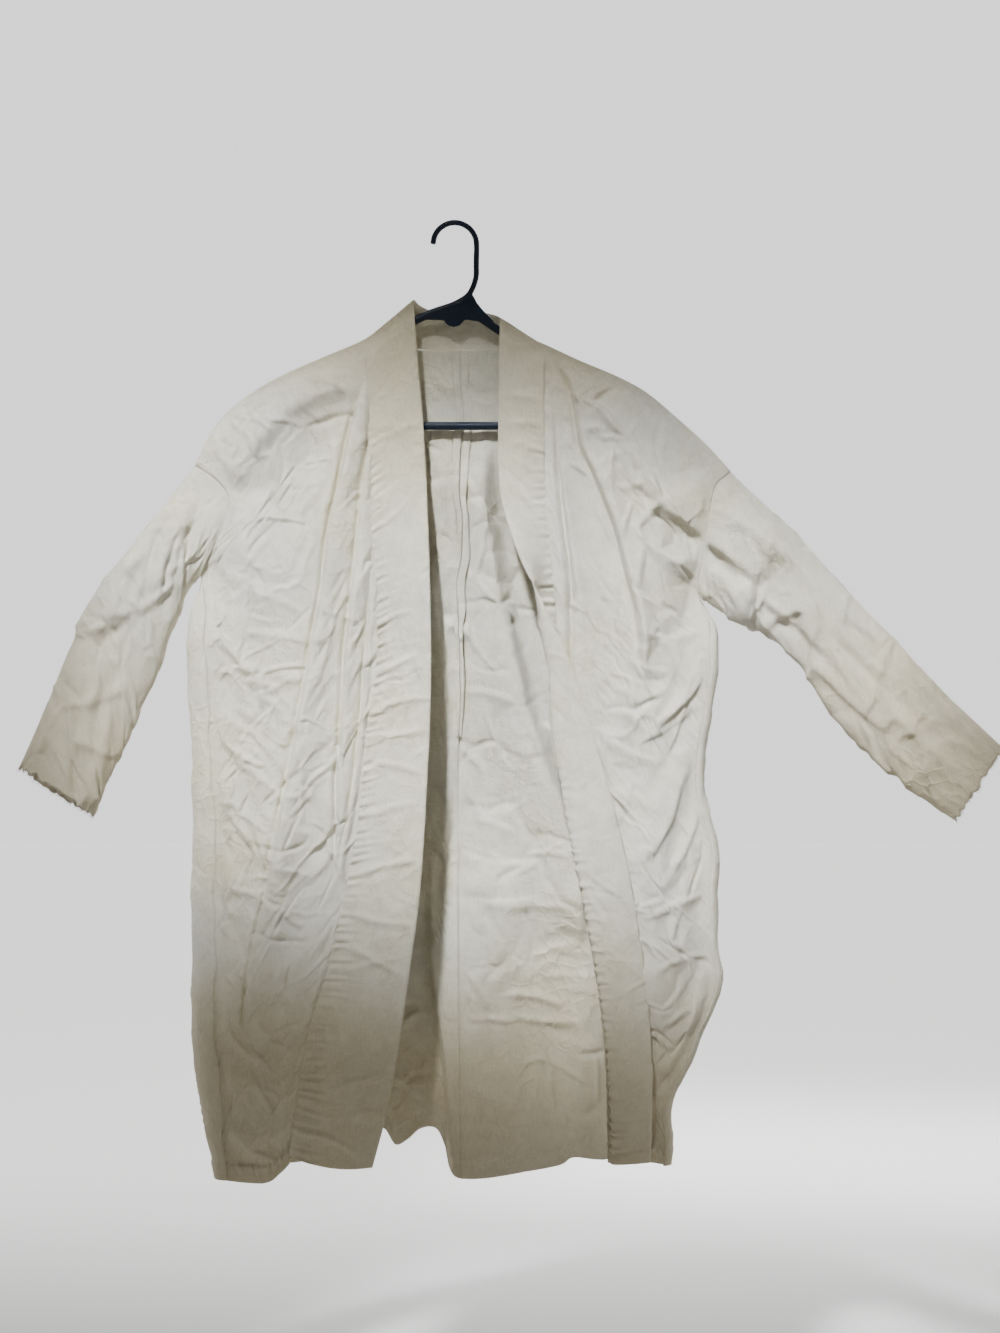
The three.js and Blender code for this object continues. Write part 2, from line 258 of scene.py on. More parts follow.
def facets(u, v, size, seed):
    """Crumpled paper: flat tilted patches, each with its own slope, meeting along straight creases."""
    i0, j0 = np.floor(u / size), np.floor(v / size)
    nearest = np.full(u.shape, 1e9)
    second = np.full(u.shape, 1e9)
    height = np.zeros(u.shape)
    for di in (-1, 0, 1):
        for dj in (-1, 0, 1):
            i, j = i0 + di, j0 + dj
            du = u - (i + 0.5 + 0.45 * scatter(i, j, seed)) * size
            dv = v - (j + 0.5 + 0.45 * scatter(i, j, seed + 7)) * size
            away = np.hypot(du, dv)
            tilt = (scatter(i, j, seed + 13) * du + scatter(i, j, seed + 17) * dv) / size
            nearer = away < nearest
            second = np.where(nearer, nearest, np.minimum(second, away))
            height = np.where(nearer, tilt, height)
            nearest = np.where(nearer, away, nearest)
    edge = (second - nearest) / size
    return height * ease(0, 0.35, edge), 1 - ease(0, 0.16, edge)


def crumple(u, v, seed, strength=1.0):
    """Height in millimetres of a washed and creased cloth, in the cloth's own flat measure."""
    wu = u + 16 * swell(u, v, 60, seed + 1) + 5 * swell(u, v, 22, seed + 5)
    wv = v + 16 * swell(u, v, 60, seed + 2) + 5 * swell(u, v, 22, seed + 6)
    broad = 2.6 * swell(wu, wv * 0.7, 105, seed + 3)
    flats, edges = facets(wu, wv, 74, seed + 20)
    small_flats, small_edges = facets(wu, wv, 33, seed + 40)
    patchy = ease(-0.25, 0.45, swell(u, v, 130, seed + 9))
    net = 1.0 * sharp_lines(wu, wv * 0.8, 42, seed + 4) + 0.45 * sharp_lines(wu, wv, 19, seed + 8)
    fine = 0.30 * swell(wu, wv, 9, seed + 10)
    small = patchy * (2.6 * small_flats + 0.9 * small_edges + 1.3 * net)
    return strength * (broad + 3.4 * flats + 1.6 * edges + small + fine)


def thin_creases(u, v, seed, stars, rise=1.0):
    """Small stars of thin straight creases, where cloth was once pressed together at a point."""
    dice = np.random.default_rng(seed)
    total = np.zeros(u.shape)
    for _ in range(stars):
        centre_u, centre_v = dice.uniform(0, u.max()), dice.uniform(0, v.max())
        first_turn, arms = dice.uniform(0, 2 * math.pi), dice.integers(2, 5)
        for arm in range(arms):
            turn = first_turn + (arm + dice.uniform(-0.3, 0.3)) * 2 * math.pi / arms
            reach = dice.uniform(18, 66)
            end = (centre_u + reach * math.cos(turn), centre_v + reach * math.sin(turn))
            height = rise * dice.uniform(0.9, 3.0) * dice.choice((-1, 1))
            width, bow = dice.uniform(2.4, 4.2), dice.uniform(-3, 3)
            total += crease(u, v, (centre_u, centre_v), end, height, width, bow)
    return total


# %% [markdown]
# ## From a grid of points to a sheet of cloth
#
# Every panel is worked out as a grid: rows down the cloth and columns across it. The points are pushed
# out along the surface by the creases, and the Solidify modifier then gives the cloth its thickness.
# The UV map holds the cloth's own flat measure in metres, so the weave runs with the threads.

# %% Sheets
def normals_of(grid, ring=False):
    """The direction out of the cloth at each point of a grid."""
    if ring:
        across = np.roll(grid, -1, 1) - np.roll(grid, 1, 1)
    else:
        across = np.gradient(grid, axis=1)
    down = np.gradient(grid, axis=0)
    n = np.cross(across, down)
    return n / np.maximum(np.linalg.norm(n, axis=2, keepdims=True), 1e-9)


def flat_measure(grid, ring=False):
    """How far each point lies across and down the cloth, in millimetres."""
    closed = np.concatenate([grid, grid[:, :1]], 1) if ring else grid
    across = np.linalg.norm(np.diff(closed, axis=1), axis=2)
    u = np.concatenate([np.zeros((len(grid), 1)), np.cumsum(across, 1)], 1)
    down = np.linalg.norm(np.diff(closed, axis=0), axis=2)
    v = np.concatenate([np.zeros((1, closed.shape[1])), np.cumsum(down, 0)], 0)
    return u, v


def cloth_object(name, grid, ring=False, thickness=0.7, flip=False, tint=None):
    """A mesh from a grid in millimetres, with its flat measure as UVs and a thickness."""
    rows, columns = grid.shape[:2]
    wide = columns if ring else columns - 1
    i, j = np.meshgrid(np.arange(rows - 1), np.arange(wide), indexing="ij")
    k = (j + 1) % columns
    faces = np.stack([i * columns + j, (i + 1) * columns + j, (i + 1) * columns + k, i * columns + k], -1)
    if flip:
        faces = faces[..., ::-1]
    faces = faces.reshape(-1, 4)
    mesh = bpy.data.meshes.new(name)
    mesh.vertices.add(rows * columns)
    mesh.vertices.foreach_set("co", (grid.reshape(-1, 3) * MM).ravel())
    mesh.loops.add(faces.size)
    mesh.loops.foreach_set("vertex_index", faces.ravel())
    mesh.polygons.add(len(faces))
    mesh.polygons.foreach_set("loop_start", np.arange(0, faces.size, 4))
    mesh.polygons.foreach_set("loop_total", np.full(len(faces), 4))
    mesh.update(calc_edges=True)
    u, v = flat_measure(grid, ring)
    stride = u.shape[1]
    corner_i, corner_j = np.divmod(faces, columns)
    wraps = ring & (j.reshape(-1, 1) == columns - 1) & (corner_j == 0)
    corner_j = np.where(wraps, columns, corner_j)
    uv = np.stack([u.ravel()[corner_i * stride + corner_j], -v.ravel()[corner_i * stride + corner_j]], -1)
    layer = mesh.uv_layers.new(name="cloth")
    layer.data.foreach_set("uv", (uv * MM).ravel())
    # tone carries painted shade, partly also yellowing, which the cotton mixes in as a darker yellow.
    tone = mesh.attributes.new("tone", "FLOAT", "POINT")
    tone.data.foreach_set("value", (np.zeros(rows * columns) if tint is None else tint.ravel()))
    mesh.polygons.foreach_set("use_smooth", np.ones(len(faces), bool))
    mesh.validate()
    piece = bpy.data.objects.new(name, mesh)
    bpy.context.collection.objects.link(piece)
    if thickness:
        solid = piece.modifiers.new("thickness", "SOLIDIFY")
        solid.thickness = thickness * MM
        solid.offset = 0
        solid.use_quality_normals = True
    print(name, "faces:", len(faces))
    return piece


# %% [markdown]
# ### Letting the cloth settle
#
# Creases that are only drawn look stiff. So the two front panels are given to the cloth solver for a few
# frames, cut a little larger than their shape, and held at their seams. The spare cloth has to go
# somewhere, so it buckles between the folds, as washed cotton does. The inside of a panel is held softly
# to the shape it was drawn with, which keeps the large folds in their places. The back, the bands and the
# sleeves are drawn only.

# %% Settle
PIN_STEPS = 20
LARGEST_MOVE = 0.011


def settle(piece, held, frames=11, spare=0.014):
    """Runs the cloth solver on a piece and keeps where its points end. held is 0 (free) to 1 (fixed)."""
    mesh = piece.data
    start = np.zeros(len(mesh.vertices) * 3)
    mesh.vertices.foreach_get("co", start)
    twin = bpy.data.objects.new(f"{piece.name}_twin", mesh.copy())
    bpy.context.collection.objects.link(twin)
    pins = twin.vertex_groups.new(name="pins")
    steps = np.round(np.clip(held.ravel(), 0, 1) * PIN_STEPS).astype(int)
    for step in np.unique(steps):
        pins.add(np.flatnonzero(steps == step).tolist(), float(step) / PIN_STEPS, "REPLACE")
    solver = twin.modifiers.new("cloth", "CLOTH")
    cloth = solver.settings
    cloth.quality = 4
    cloth.mass = 0.15
    cloth.tension_stiffness = cloth.compression_stiffness = 18
    cloth.shear_stiffness = 6
    cloth.bending_stiffness = 0.35
    cloth.shrink_min = -spare
    cloth.vertex_group_mass = "pins"
    cloth.pin_stiffness = 1.0
    cloth.time_scale = 0.8
    cloth.effector_weights.gravity = 0.06
    solver.collision_settings.use_collision = False
    solver.point_cache.frame_end = frames + 1
    scene = bpy.context.scene
    for frame_now in range(1, frames + 2):
        scene.frame_set(frame_now)
    settled = twin.evaluated_get(bpy.context.evaluated_depsgraph_get()).data
    end = np.zeros(len(mesh.vertices) * 3)
    settled.vertices.foreach_get("co", end)
    moved = (end - start).reshape(-1, 3)
    far = np.linalg.norm(moved, axis=1, keepdims=True)
    moved *= np.minimum(1, LARGEST_MOVE / np.maximum(far, 1e-9))
    mesh.vertices.foreach_set("co", (start.reshape(-1, 3) + moved).ravel())
    mesh.update()
    scene.frame_set(1)
    bpy.data.objects.remove(twin)
    print(piece.name, "settled, mm moved on average:", round(float(far.mean()) * 1000, 2))


def hold_edges(rows, columns, edge=1.0, inside=0.0, ring=False):
    """Pin strengths for a grid: fixed at the seams, easing to a soft hold inside."""
    r = np.arange(rows)[:, None]
    c = np.arange(columns)[None, :]
    from_edge = np.minimum(r, rows - 1 - r) + 0 * c
    if not ring:
        from_edge = np.minimum(from_edge, np.minimum(c, columns - 1 - c))
    return np.where(from_edge == 0, edge, mix(0.6, inside, ease(0, 5, from_edge)))


# %% [markdown]
# ## Where the coat hangs
#
# The outlines of the coat as it hangs: shoulder lines, armholes, side seams, band seams and hems, each
# with only the points its shape needs, in millimetres from the hook. "Left" and "right" are as seen from
# the front.

# %% Outlines
SIGN = {"left": -1, "right": 1}
SHOULDER = {
    "left": [(-48, -87), (-75, -110), (-105, -133), (-146, -151), (-181, -166), (-222, -186), (-257, -211),
             (-284, -241), (-304, -281)],
    "right": [(53, -108), (80, -128), (105, -139), (146, -158), (193, -178), (225, -196), (257, -223),
              (292, -254), (323, -288)],
}
ARMHOLE = {
    "left": [(-304, -281), (-284, -294), (-269, -309), (-263, -326), (-267, -346), (-281, -374),
             (-296, -406)],
    "right": [(323, -288), (306, -303), (300, -321), (295, -352), (290, -385), (284, -428)],
}
SIDE_SEAM = {
    "left": [(-296, -406), (-290, -450), (-286, -520), (-285, -580), (-280, -640), (-277, -720), (-277, -860),
             (-275, -960), (-262, -1112)],
    "right": [(284, -428), (293, -455), (299, -484), (295, -531), (287, -572), (281, -640), (287, -690),
              (298, -735), (297, -841), (303, -888), (275, -958), (243, -1024), (246, -1065), (242, -1094)],
}
SIDE = {
    "left": [(-296, -406), (-300, -440), (-310, -508), (-311, -560), (-303, -607), (-309, -672), (-314, -789),
             (-316, -960), (-310, -1000), (-294, -1048), (-268, -1112)],
    "right": [(284, -428), (296, -455), (302, -484), (298, -531), (290, -572), (284, -640), (290, -690),
              (301, -735), (300, -841), (306, -888), (278, -958), (246, -1024), (250, -1065), (246, -1094)],
}
BAND_SEAM = {
    "left": [(-105, -135), (-102, -198), (-97, -344), (-90, -449), (-91, -520), (-102, -600),
             (-113, -706), (-125, -777), (-137, -825), (-150, -868), (-165, -912), (-176, -963),
             (-182, -1010), (-189, -1077)],
    "right": [(105, -141), (105, -239), (106, -315), (112, -380), (116, -438), (120, -484), (123, -525),
              (126, -578), (129, -634), (140, -700), (154, -784), (172, -887), (181, -980), (184, -1098)],
}
BAND_EDGE_LEFT = [(-48, -87), (-42, -168), (-36, -239), (-30, -356), (-27, -461), (-27, -555), (-32, -672),
                  (-39, -777), (-48, -847), (-62, -947), (-76, -1024), (-93, -1090)]
HEM = {
    "left": [(-268, -1112), (-220, -1112), (-199, -1098), (-183, -1080)],
    "right": [(183, -1087), (205, -1087), (222, -1089), (246, -1094)],
}
BACK_HEM = [(-268, -1112), (-180, -1106), (-120, -1090), (-88, -1066), (-72, -1086), (-56, -1079),
            (-42, -1067), (-24, -1066), (-14, -1084), (-6, -1117), (29, -1124), (117, -1112),
            (140, -1100), (181, -1104), (246, -1094)]
NECK_SEAM = [(-105, -137), (-70, -143), (-40, -144), (6, -145), (50, -144), (80, -143), (105, -141)]
CENTRE_BACK = [(6, -145), (7, -185), (11, -227), (8, -250), (6, -312), (9, -344), (8, -387), (2, -420),
               (4, -461), (6, -555), (4, -607), (4, -789), (6, -1120)]
BAR_HEIGHT = -234.5

# %% [markdown]
# ### How deep it hangs
#
# Over the hanger the coat is only as deep as the hanger's rods. Below the bar the front and the back part,
# and toward the hem they stand apart like a flattened tube.

# %% Depth
def over_hanger(x, z):
    """Half the coat's depth near the shoulder line, in millimetres."""
    line = SHOULDER["left"] if np.mean(x) < 0 else SHOULDER["right"]
    return mix(1.2, 13, ease(0, 26, z_at(line, x) - z))


def below_bar(z):
    return ease(0, 190, BAR_HEIGHT - z)


def toward_hem(z):
    return ease(60, 780, BAR_HEIGHT - z)


SEAM_DEPTH = 30


def front_depth(x, z, seam_x):
    from_seam = ease(0, 110, np.abs(x - seam_x))
    near = mix(over_hanger(x, z), SEAM_DEPTH, below_bar(z))
    return -(near + from_seam * 32 * toward_hem(z))


def back_depth(x, z):
    return mix(over_hanger(x, z), 24, below_bar(z)) + 30 * toward_hem(z)


# %% [markdown]
# ### Folds and creases
#
# A fold is a ridge that follows a line down the cloth. One flank is often soft and the other sharp, which
# is what makes a pleat look like a pleat, so each flank has a width of its own. A crease is a short
# straight ridge or groove that fades at both ends.

# %% Folds
def fold(x, z, path, rise, soft, sharp, fade=60):
    """Height of one long fold. soft and sharp are the widths to the left and to the right of its line."""
    path = np.array(path, float)
    d = x - x_at(path, z)
    width = np.where(d < 0, soft, sharp)
    top, bottom = path[0, 1], path[-1, 1]
    here = ease(-fade, fade * 0.3, top - z) * ease(-fade, fade * 0.3, z - bottom)
    return rise * np.exp(-((d / width) ** 2)) * here


def pleat(x, z, path, rise, groove, step, slope, fade=55):
    """A sharp groove with cloth standing up beside it: steep over the step, then easing down the slope.

    A positive slope puts the raised cloth to the right of the line, and a negative one to its left.
    """
    path = np.array(path, float)
    d = (x - x_at(path, z)) * np.sign(slope)
    raised = ease(0, step, d) * (1 - ease(step, abs(slope), d))
    top, bottom = path[0, 1], path[-1, 1]
    here = ease(-fade * 0.2, fade, top - z) * ease(-fade * 0.2, fade, z - bottom)
    return here * (rise * raised - groove * np.exp(-((d / (0.5 * step + 1)) ** 2)))


def crease(x, z, start, end, rise, width, bow=0.0):
    """Height of one short crease from start to end, bowed sideways by bow."""
    (x0, z0), (x1, z1) = start, end
    length = math.hypot(x1 - x0, z1 - z0)
    tx, tz = (x1 - x0) / length, (z1 - z0) / length
    t = (x - x0) * tx + (z - z0) * tz
    s = t / length
    d = (x - x0) * -tz + (z - z0) * tx - bow * 4 * s * (1 - s)
    ends = ease(-0.12, 0.25, s) * ease(-0.12, 0.25, 1 - s)
    near = np.where(d < 0, width, width * 0.55)
    return rise * np.exp(-((d / near) ** 2)) * ends


def flap(x, z, start, end, rise, reach, bow=0.0):
    """Cloth folded over to an edge: high at the line, easing away on its upper side, dropping below it.

    The raised side is on the left hand when going from start to end with the coat seen from the front.
    """
    (x0, z0), (x1, z1) = start, end
    length = math.hypot(x1 - x0, z1 - z0)
    tx, tz = (x1 - x0) / length, (z1 - z0) / length
    t = ((x - x0) * tx + (z - z0) * tz) / length
    d = (x - x0) * -tz + (z - z0) * tx - bow * 4 * t * (1 - t)
    ends = ease(-0.15, 0.2, t) * ease(-0.15, 0.2, 1 - t)
    raised = ease(-3, 2.5, d) * np.exp(-((np.clip(d, 0, None) / reach) ** 2))
    return ends * rise * (raised - 0.4 * np.exp(-(((d + 7) / 9) ** 2)))


def all_creases(x, z, table, width=6):
    total = 0
    for x0, z0, x1, z1, rise, bow in table:
        total = total + crease(x, z, (x0, z0), (x1, z1), rise, width, bow)
    return total


def puckers(distance, length, seed, rise=1.5, reach=17):
    """Small cross folds beside a row of stitching, where the thread has drawn the cloth up."""
    still = length * 0
    slant = distance * 0.25 * swell(length, distance, 60, seed + 1)
    beat = length + 6 * swell(length, still, 34, seed) + slant
    ripple = np.sin(beat * 2 * math.pi / 11.5) + 0.6 * np.sin(beat * 2 * math.pi / 7.3 + 1.7)
    uneven = 0.45 + 0.55 * ease(-0.5, 0.4, swell(length, still, 47, seed + 2))
    reach_here = reach * (0.7 + 0.5 * np.abs(swell(length, still, 23, seed + 3)))
    spread = np.exp(-((np.abs(distance) / reach_here) ** 1.6))
    return rise * ripple * uneven * spread


HEM_DEPTH = 19


def hem_ridge(above, along_hem, seed):
    """The turned-up hem: two more layers of cloth, and small pulls beside the stitching that holds them."""
    turned_up = 1 - ease(HEM_DEPTH - 1, HEM_DEPTH + 2, above)
    return 2.6 * turned_up + puckers(above - HEM_DEPTH, along_hem, seed, rise=1.1, reach=11)


# %% [markdown]
# ## Cotton
#
# The cloth is unbleached calico, washed often: a matt surface with a visible plain weave, thicker slubs
# here and there, a slightly yellow and slightly grey mottling, and fine crinkles that are bump only.
# The weave is two sets of waves across each other on the flat measure, and bump lifts it.

# %% Cotton
def node(tree, kind, **inputs):
    """A shader node with its input values or links set by name."""
    made = tree.nodes.new(kind)
    for name, value in inputs.items():
        socket = made.inputs[name.replace("_", " ")]
        if isinstance(value, bpy.types.NodeSocket):
            tree.links.new(value, socket)
        else:
            socket.default_value = value
    return made


def ramp(tree, value, stops):
    """A colour ramp from [(position, colour), ...]."""
    made = tree.nodes.new("ShaderNodeValToRGB")
    tree.links.new(value, made.inputs["Fac"])
    elements = made.color_ramp.elements
    while len(elements) < len(stops):
        elements.new(0.5)
    for element, (position, colour) in zip(elements, stops):
        element.position = position
        element.color = (*colour, 1)
    return made.outputs["Color"]


def mix_node(tree, kind, factor, first, second, blend="MIX"):
    """A mix of two colours or two vectors."""
    made = tree.nodes.new("ShaderNodeMix")
    made.data_type = kind
    made.blend_type = blend
    a, b, out = (6, 7, 2) if kind == "RGBA" else (4, 5, 1)
    for socket, value in ((made.inputs["Factor"], factor), (made.inputs[a], first), (made.inputs[b], second)):
        if isinstance(value, bpy.types.NodeSocket):
            tree.links.new(value, socket)
        else:
            socket.default_value = value
    return made.outputs[out]


def math_node(tree, operation, a, b):
    made = tree.nodes.new("ShaderNodeMath")
    made.operation = operation
    for socket, value in zip(made.inputs, (a, b)):
        if isinstance(value, bpy.types.NodeSocket):
            tree.links.new(value, socket)
        else:
            socket.default_value = value
    return made.outputs["Value"]


THREAD_PITCH = 0.00085
WAVES_PER_SCALE = 3.1
# Painted shade, partly also yellowing of old cotton: the darker yellow that the cloth is drawn toward at the
# hem, shoulders and cuffs.
SHADE_AND_AGE_YELLOW = (0.62, 0.53, 0.34)


def cotton(name, pale, warm, grey, weave_bump=0.25):
    """Washed plain-woven cotton in three close shades."""
    material = bpy.data.materials.new(name)
    material.use_nodes = True
    tree = material.node_tree
    shader = tree.nodes["Principled BSDF"]
    place = tree.nodes.new("ShaderNodeTexCoord").outputs["Object"]
    flat = tree.nodes.new("ShaderNodeUVMap")
    flat.uv_map = "cloth"
    flat = flat.outputs["UV"]

    clouds = node(tree, "ShaderNodeTexNoise", Vector=place, Scale=5.5, Detail=4.0, Roughness=0.6)
    mottle = node(tree, "ShaderNodeTexNoise", Vector=place, Scale=46.0, Detail=5.0, Roughness=0.7)
    shade = ramp(tree, clouds.outputs["Fac"], [(0.30, grey), (0.50, pale), (0.72, warm)])
    speck = ramp(tree, mottle.outputs["Fac"], [(0.32, (0.83, 0.815, 0.78)), (0.60, (1, 1, 1))])
    base = mix_node(tree, "RGBA", 0.85, shade, speck, "MULTIPLY")

    # The tone attribute mixes in that darker yellow: painted shade, partly also yellowing of the cotton.
    tone = tree.nodes.new("ShaderNodeAttribute")
    tone.attribute_name = "tone"
    shaded_and_aged = mix_node(tree, "RGBA", tone.outputs["Fac"], base, (*SHADE_AND_AGE_YELLOW, 1))

    slub = tree.nodes.new("ShaderNodeMapping")
    slub.inputs["Scale"].default_value = (900, 60, 1)
    tree.links.new(flat, slub.inputs["Vector"])
    slub_noise = node(tree, "ShaderNodeTexNoise", Vector=slub.outputs["Vector"], Scale=1.0, Detail=2.0)
    slub_across = tree.nodes.new("ShaderNodeMapping")
    slub_across.inputs["Scale"].default_value = (60, 900, 1)
    tree.links.new(flat, slub_across.inputs["Vector"])
    slub_noise_across = node(tree, "ShaderNodeTexNoise", Vector=slub_across.outputs["Vector"], Scale=1.0,
                             Detail=2.0)
    threads = math_node(tree, "ADD", slub_noise.outputs["Fac"], slub_noise_across.outputs["Fac"])
    thread_shade = ramp(tree, math_node(tree, "MULTIPLY", threads, 0.5),
                        [(0.38, (0.87, 0.865, 0.84)), (0.56, (1, 1, 1))])
    coloured = mix_node(tree, "RGBA", 0.9, shaded_and_aged, thread_shade, "MULTIPLY")
    tree.links.new(coloured, shader.inputs["Base Color"])

    weave = None
    for direction in ("X", "Y"):
        wave = tree.nodes.new("ShaderNodeTexWave")
        wave.bands_direction = direction
        wave.inputs["Scale"].default_value = 1 / THREAD_PITCH / WAVES_PER_SCALE
        wave.inputs["Distortion"].default_value = 0.6
        wave.inputs["Detail"].default_value = 1.0
        tree.links.new(flat, wave.inputs["Vector"])
        wave = wave.outputs["Fac"]
        weave = wave if weave is None else math_node(tree, "MULTIPLY", weave, wave)
    relief = math_node(tree, "ADD", math_node(tree, "MULTIPLY", weave, 0.35), threads)
    bump = node(tree, "ShaderNodeBump", Height=relief, Strength=weave_bump, Distance=0.0005)
    wrinkle = node(tree, "ShaderNodeTexNoise", Vector=place, Scale=120.0, Detail=6.0, Roughness=0.62)
    bump_wrinkle = node(tree, "ShaderNodeBump", Height=wrinkle.outputs["Fac"], Strength=0.7, Distance=0.0016,
                        Normal=bump.outputs["Normal"])
    bend = node(tree, "ShaderNodeTexNoise", Vector=place, Scale=24.0, Detail=2.0)
    bent = mix_node(tree, "VECTOR", 0.035, place, bend.outputs["Color"])
    crinkle = tree.nodes.new("ShaderNodeTexVoronoi")
    crinkle.feature = "DISTANCE_TO_EDGE"
    crinkle.inputs["Scale"].default_value = 52.0
    tree.links.new(bent, crinkle.inputs["Vector"])
    crinkle_ridge = tree.nodes.new("ShaderNodeMapRange")
    crinkle_ridge.interpolation_type = "SMOOTHSTEP"
    crinkle_ridge.inputs["From Max"].default_value = 0.16
    crinkle_ridge.inputs["To Min"].default_value = 1.0
    crinkle_ridge.inputs["To Max"].default_value = 0.0
    tree.links.new(crinkle.outputs["Distance"], crinkle_ridge.inputs["Value"])
    here_and_there = ramp(tree, clouds.outputs["Fac"], [(0.44, (0, 0, 0)), (0.60, (1, 1, 1))])
    crinkle_height = math_node(tree, "MULTIPLY", crinkle_ridge.outputs["Result"], here_and_there)
    bump_crinkle = node(tree, "ShaderNodeBump", Height=crinkle_height, Strength=0.45, Distance=0.0012,
                        Normal=bump_wrinkle.outputs["Normal"])
    tree.links.new(bump_crinkle.outputs["Normal"], shader.inputs["Normal"])
    rough = ramp(tree, mottle.outputs["Fac"], [(0.3, (0.86, 0.86, 0.86)), (0.7, (0.97, 0.97, 0.97))])
    tree.links.new(rough, shader.inputs["Roughness"])
    shader.inputs["Sheen Weight"].default_value = 0.12
    shader.inputs["Sheen Roughness"].default_value = 0.5
    shader.inputs["Specular IOR Level"].default_value = 0.25
    return material


CREAM = (0.80, 0.77, 0.65)
WARM_CREAM = (0.79, 0.73, 0.55)
COOL_CREAM = (0.77, 0.76, 0.70)
panel_cotton = cotton("panel_cotton", CREAM, WARM_CREAM, COOL_CREAM)
band_cotton = cotton("band_cotton", (0.805, 0.768, 0.63), (0.795, 0.73, 0.54), (0.78, 0.76, 0.67))
print("cotton shades made")

# %% [markdown]
# ## The front panels
#
# Each front runs from the shoulder line to the hem, between the armhole and side seam on one side and the
# band's stitching on the other. The grid follows those four edges, so the weave and the folds run with
# the cut. The big folds fall from the shoulder beside the band; drag folds run from the end of the
# hanger to the underarm; the rest is washing creases.

# %% Front panels
FRONT_ROWS = 420
FRONT_COLUMNS = 104
LEFT_FRONT_PLEATS = [
    # path, rise, groove, step, slope
    ([(-107, -185), (-118, -220), (-127, -254), (-136, -302), (-147, -350), (-156, -421), (-174, -523),
      (-190, -613), (-202, -683), (-216, -765), (-236, -859), (-246, -940)], 11.0, 7.0, 5, 40),
    ([(-96, -205), (-100, -250), (-107, -302), (-117, -397), (-128, -494), (-133, -572), (-137, -660),
      (-140, -760)],
     8.0, 7.5, 4, 22),
    ([(-92, -350), (-96, -420), (-103, -484), (-112, -594), (-123, -672), (-136, -760)], 5.0, 5.5, 3.5, 12),
]
LEFT_FRONT_FOLDS = [
    # path, rise, soft flank, sharp flank
    ([(-205, -700), (-212, -800), (-228, -900), (-238, -1000), (-236, -1118)], 8, 30, 26),
    ([(-262, -600), (-258, -760), (-262, -900), (-258, -1000)], 5, 14, 22),
    ([(-172, -860), (-183, -950), (-192, -1030), (-205, -1118)], 9, 12, 26),
]
LEFT_FRONT_CREASES = [
    (-145, -294, -198, -300, 2.2, 6), (-160, -320, -215, -345, 1.6, 3),
    (-255, -330, -284, -380, 5.0, -5), (-268, -340, -288, -392, -5.0, 4), (-215, -360, -278, -430, 2.4, 4),
    (-273, -474, -239, -519, 2.2, 0), (-277, -525, -221, -514, 2.6, 3), (-214, -525, -236, -580, 2.2, 2),
    (-219, -547, -176, -521, 2.4, 2), (-219, -547, -196, -567, 2.0, 0), (-266, -603, -221, -630, 2.8, -2),
    (-243, -629, -194, -668, 2.4, 3), (-174, -628, -140, -682, 2.2, 2), (-270, -675, -240, -682, 2.2, 4),
    (-201, -746, -168, -755, 2.6, 3), (-138, -724, -165, -757, 3.0, 2), (-250, -705, -205, -735, 1.8, 3),
    (-262, -770, -222, -790, 1.8, 4), (-240, -840, -190, -815, 2.0, 4), (-270, -870, -225, -905, 2.2, 3),
    (-262, -930, -230, -965, 3.0, -5), (-250, -950, -215, -975, 2.6, 4), (-235, -985, -205, -1040, 2.4, 3),
    (-222, -430, -170, -455, 1.6, 4), (-240, -470, -185, -480, 1.4, -4), (-255, -640, -272, -700, 1.8, 2),
    (-186, -700, -150, -712, 1.5, 2), (-230, -1010, -262, -1060, 3.2, 4),
]
RIGHT_FRONT_PLEATS = [
    ([(109, -150), (122, -172), (134, -196), (139, -225), (145, -262), (160, -292), (173, -325), (185, -355),
      (196, -400), (208, -450), (216, -520)], 10.0, 5.0, 6, 40),
    ([(118, -240), (121, -300), (126, -345), (133, -395), (135, -450), (135, -520), (138, -590), (140, -640)],
     6.0, 9.0, 4, 28),
]
RIGHT_FRONT_FOLDS = [
    ([(112, -230), (116, -300), (121, -360), (126, -420), (128, -500), (130, -560)], 3.5, 6, 5),
    ([(178, -300), (196, -350), (212, -400), (218, -470), (214, -540)], 6.0, 16, 10),
    ([(232, -560), (246, -640), (236, -740), (252, -850), (262, -940)], 8.0, 34, 20),
    ([(262, -760), (272, -840), (284, -905), (270, -980)], 6.0, 14, 10),
    ([(222, -700), (236, -800), (246, -900), (238, -990)], 6.0, 16, 18),
]
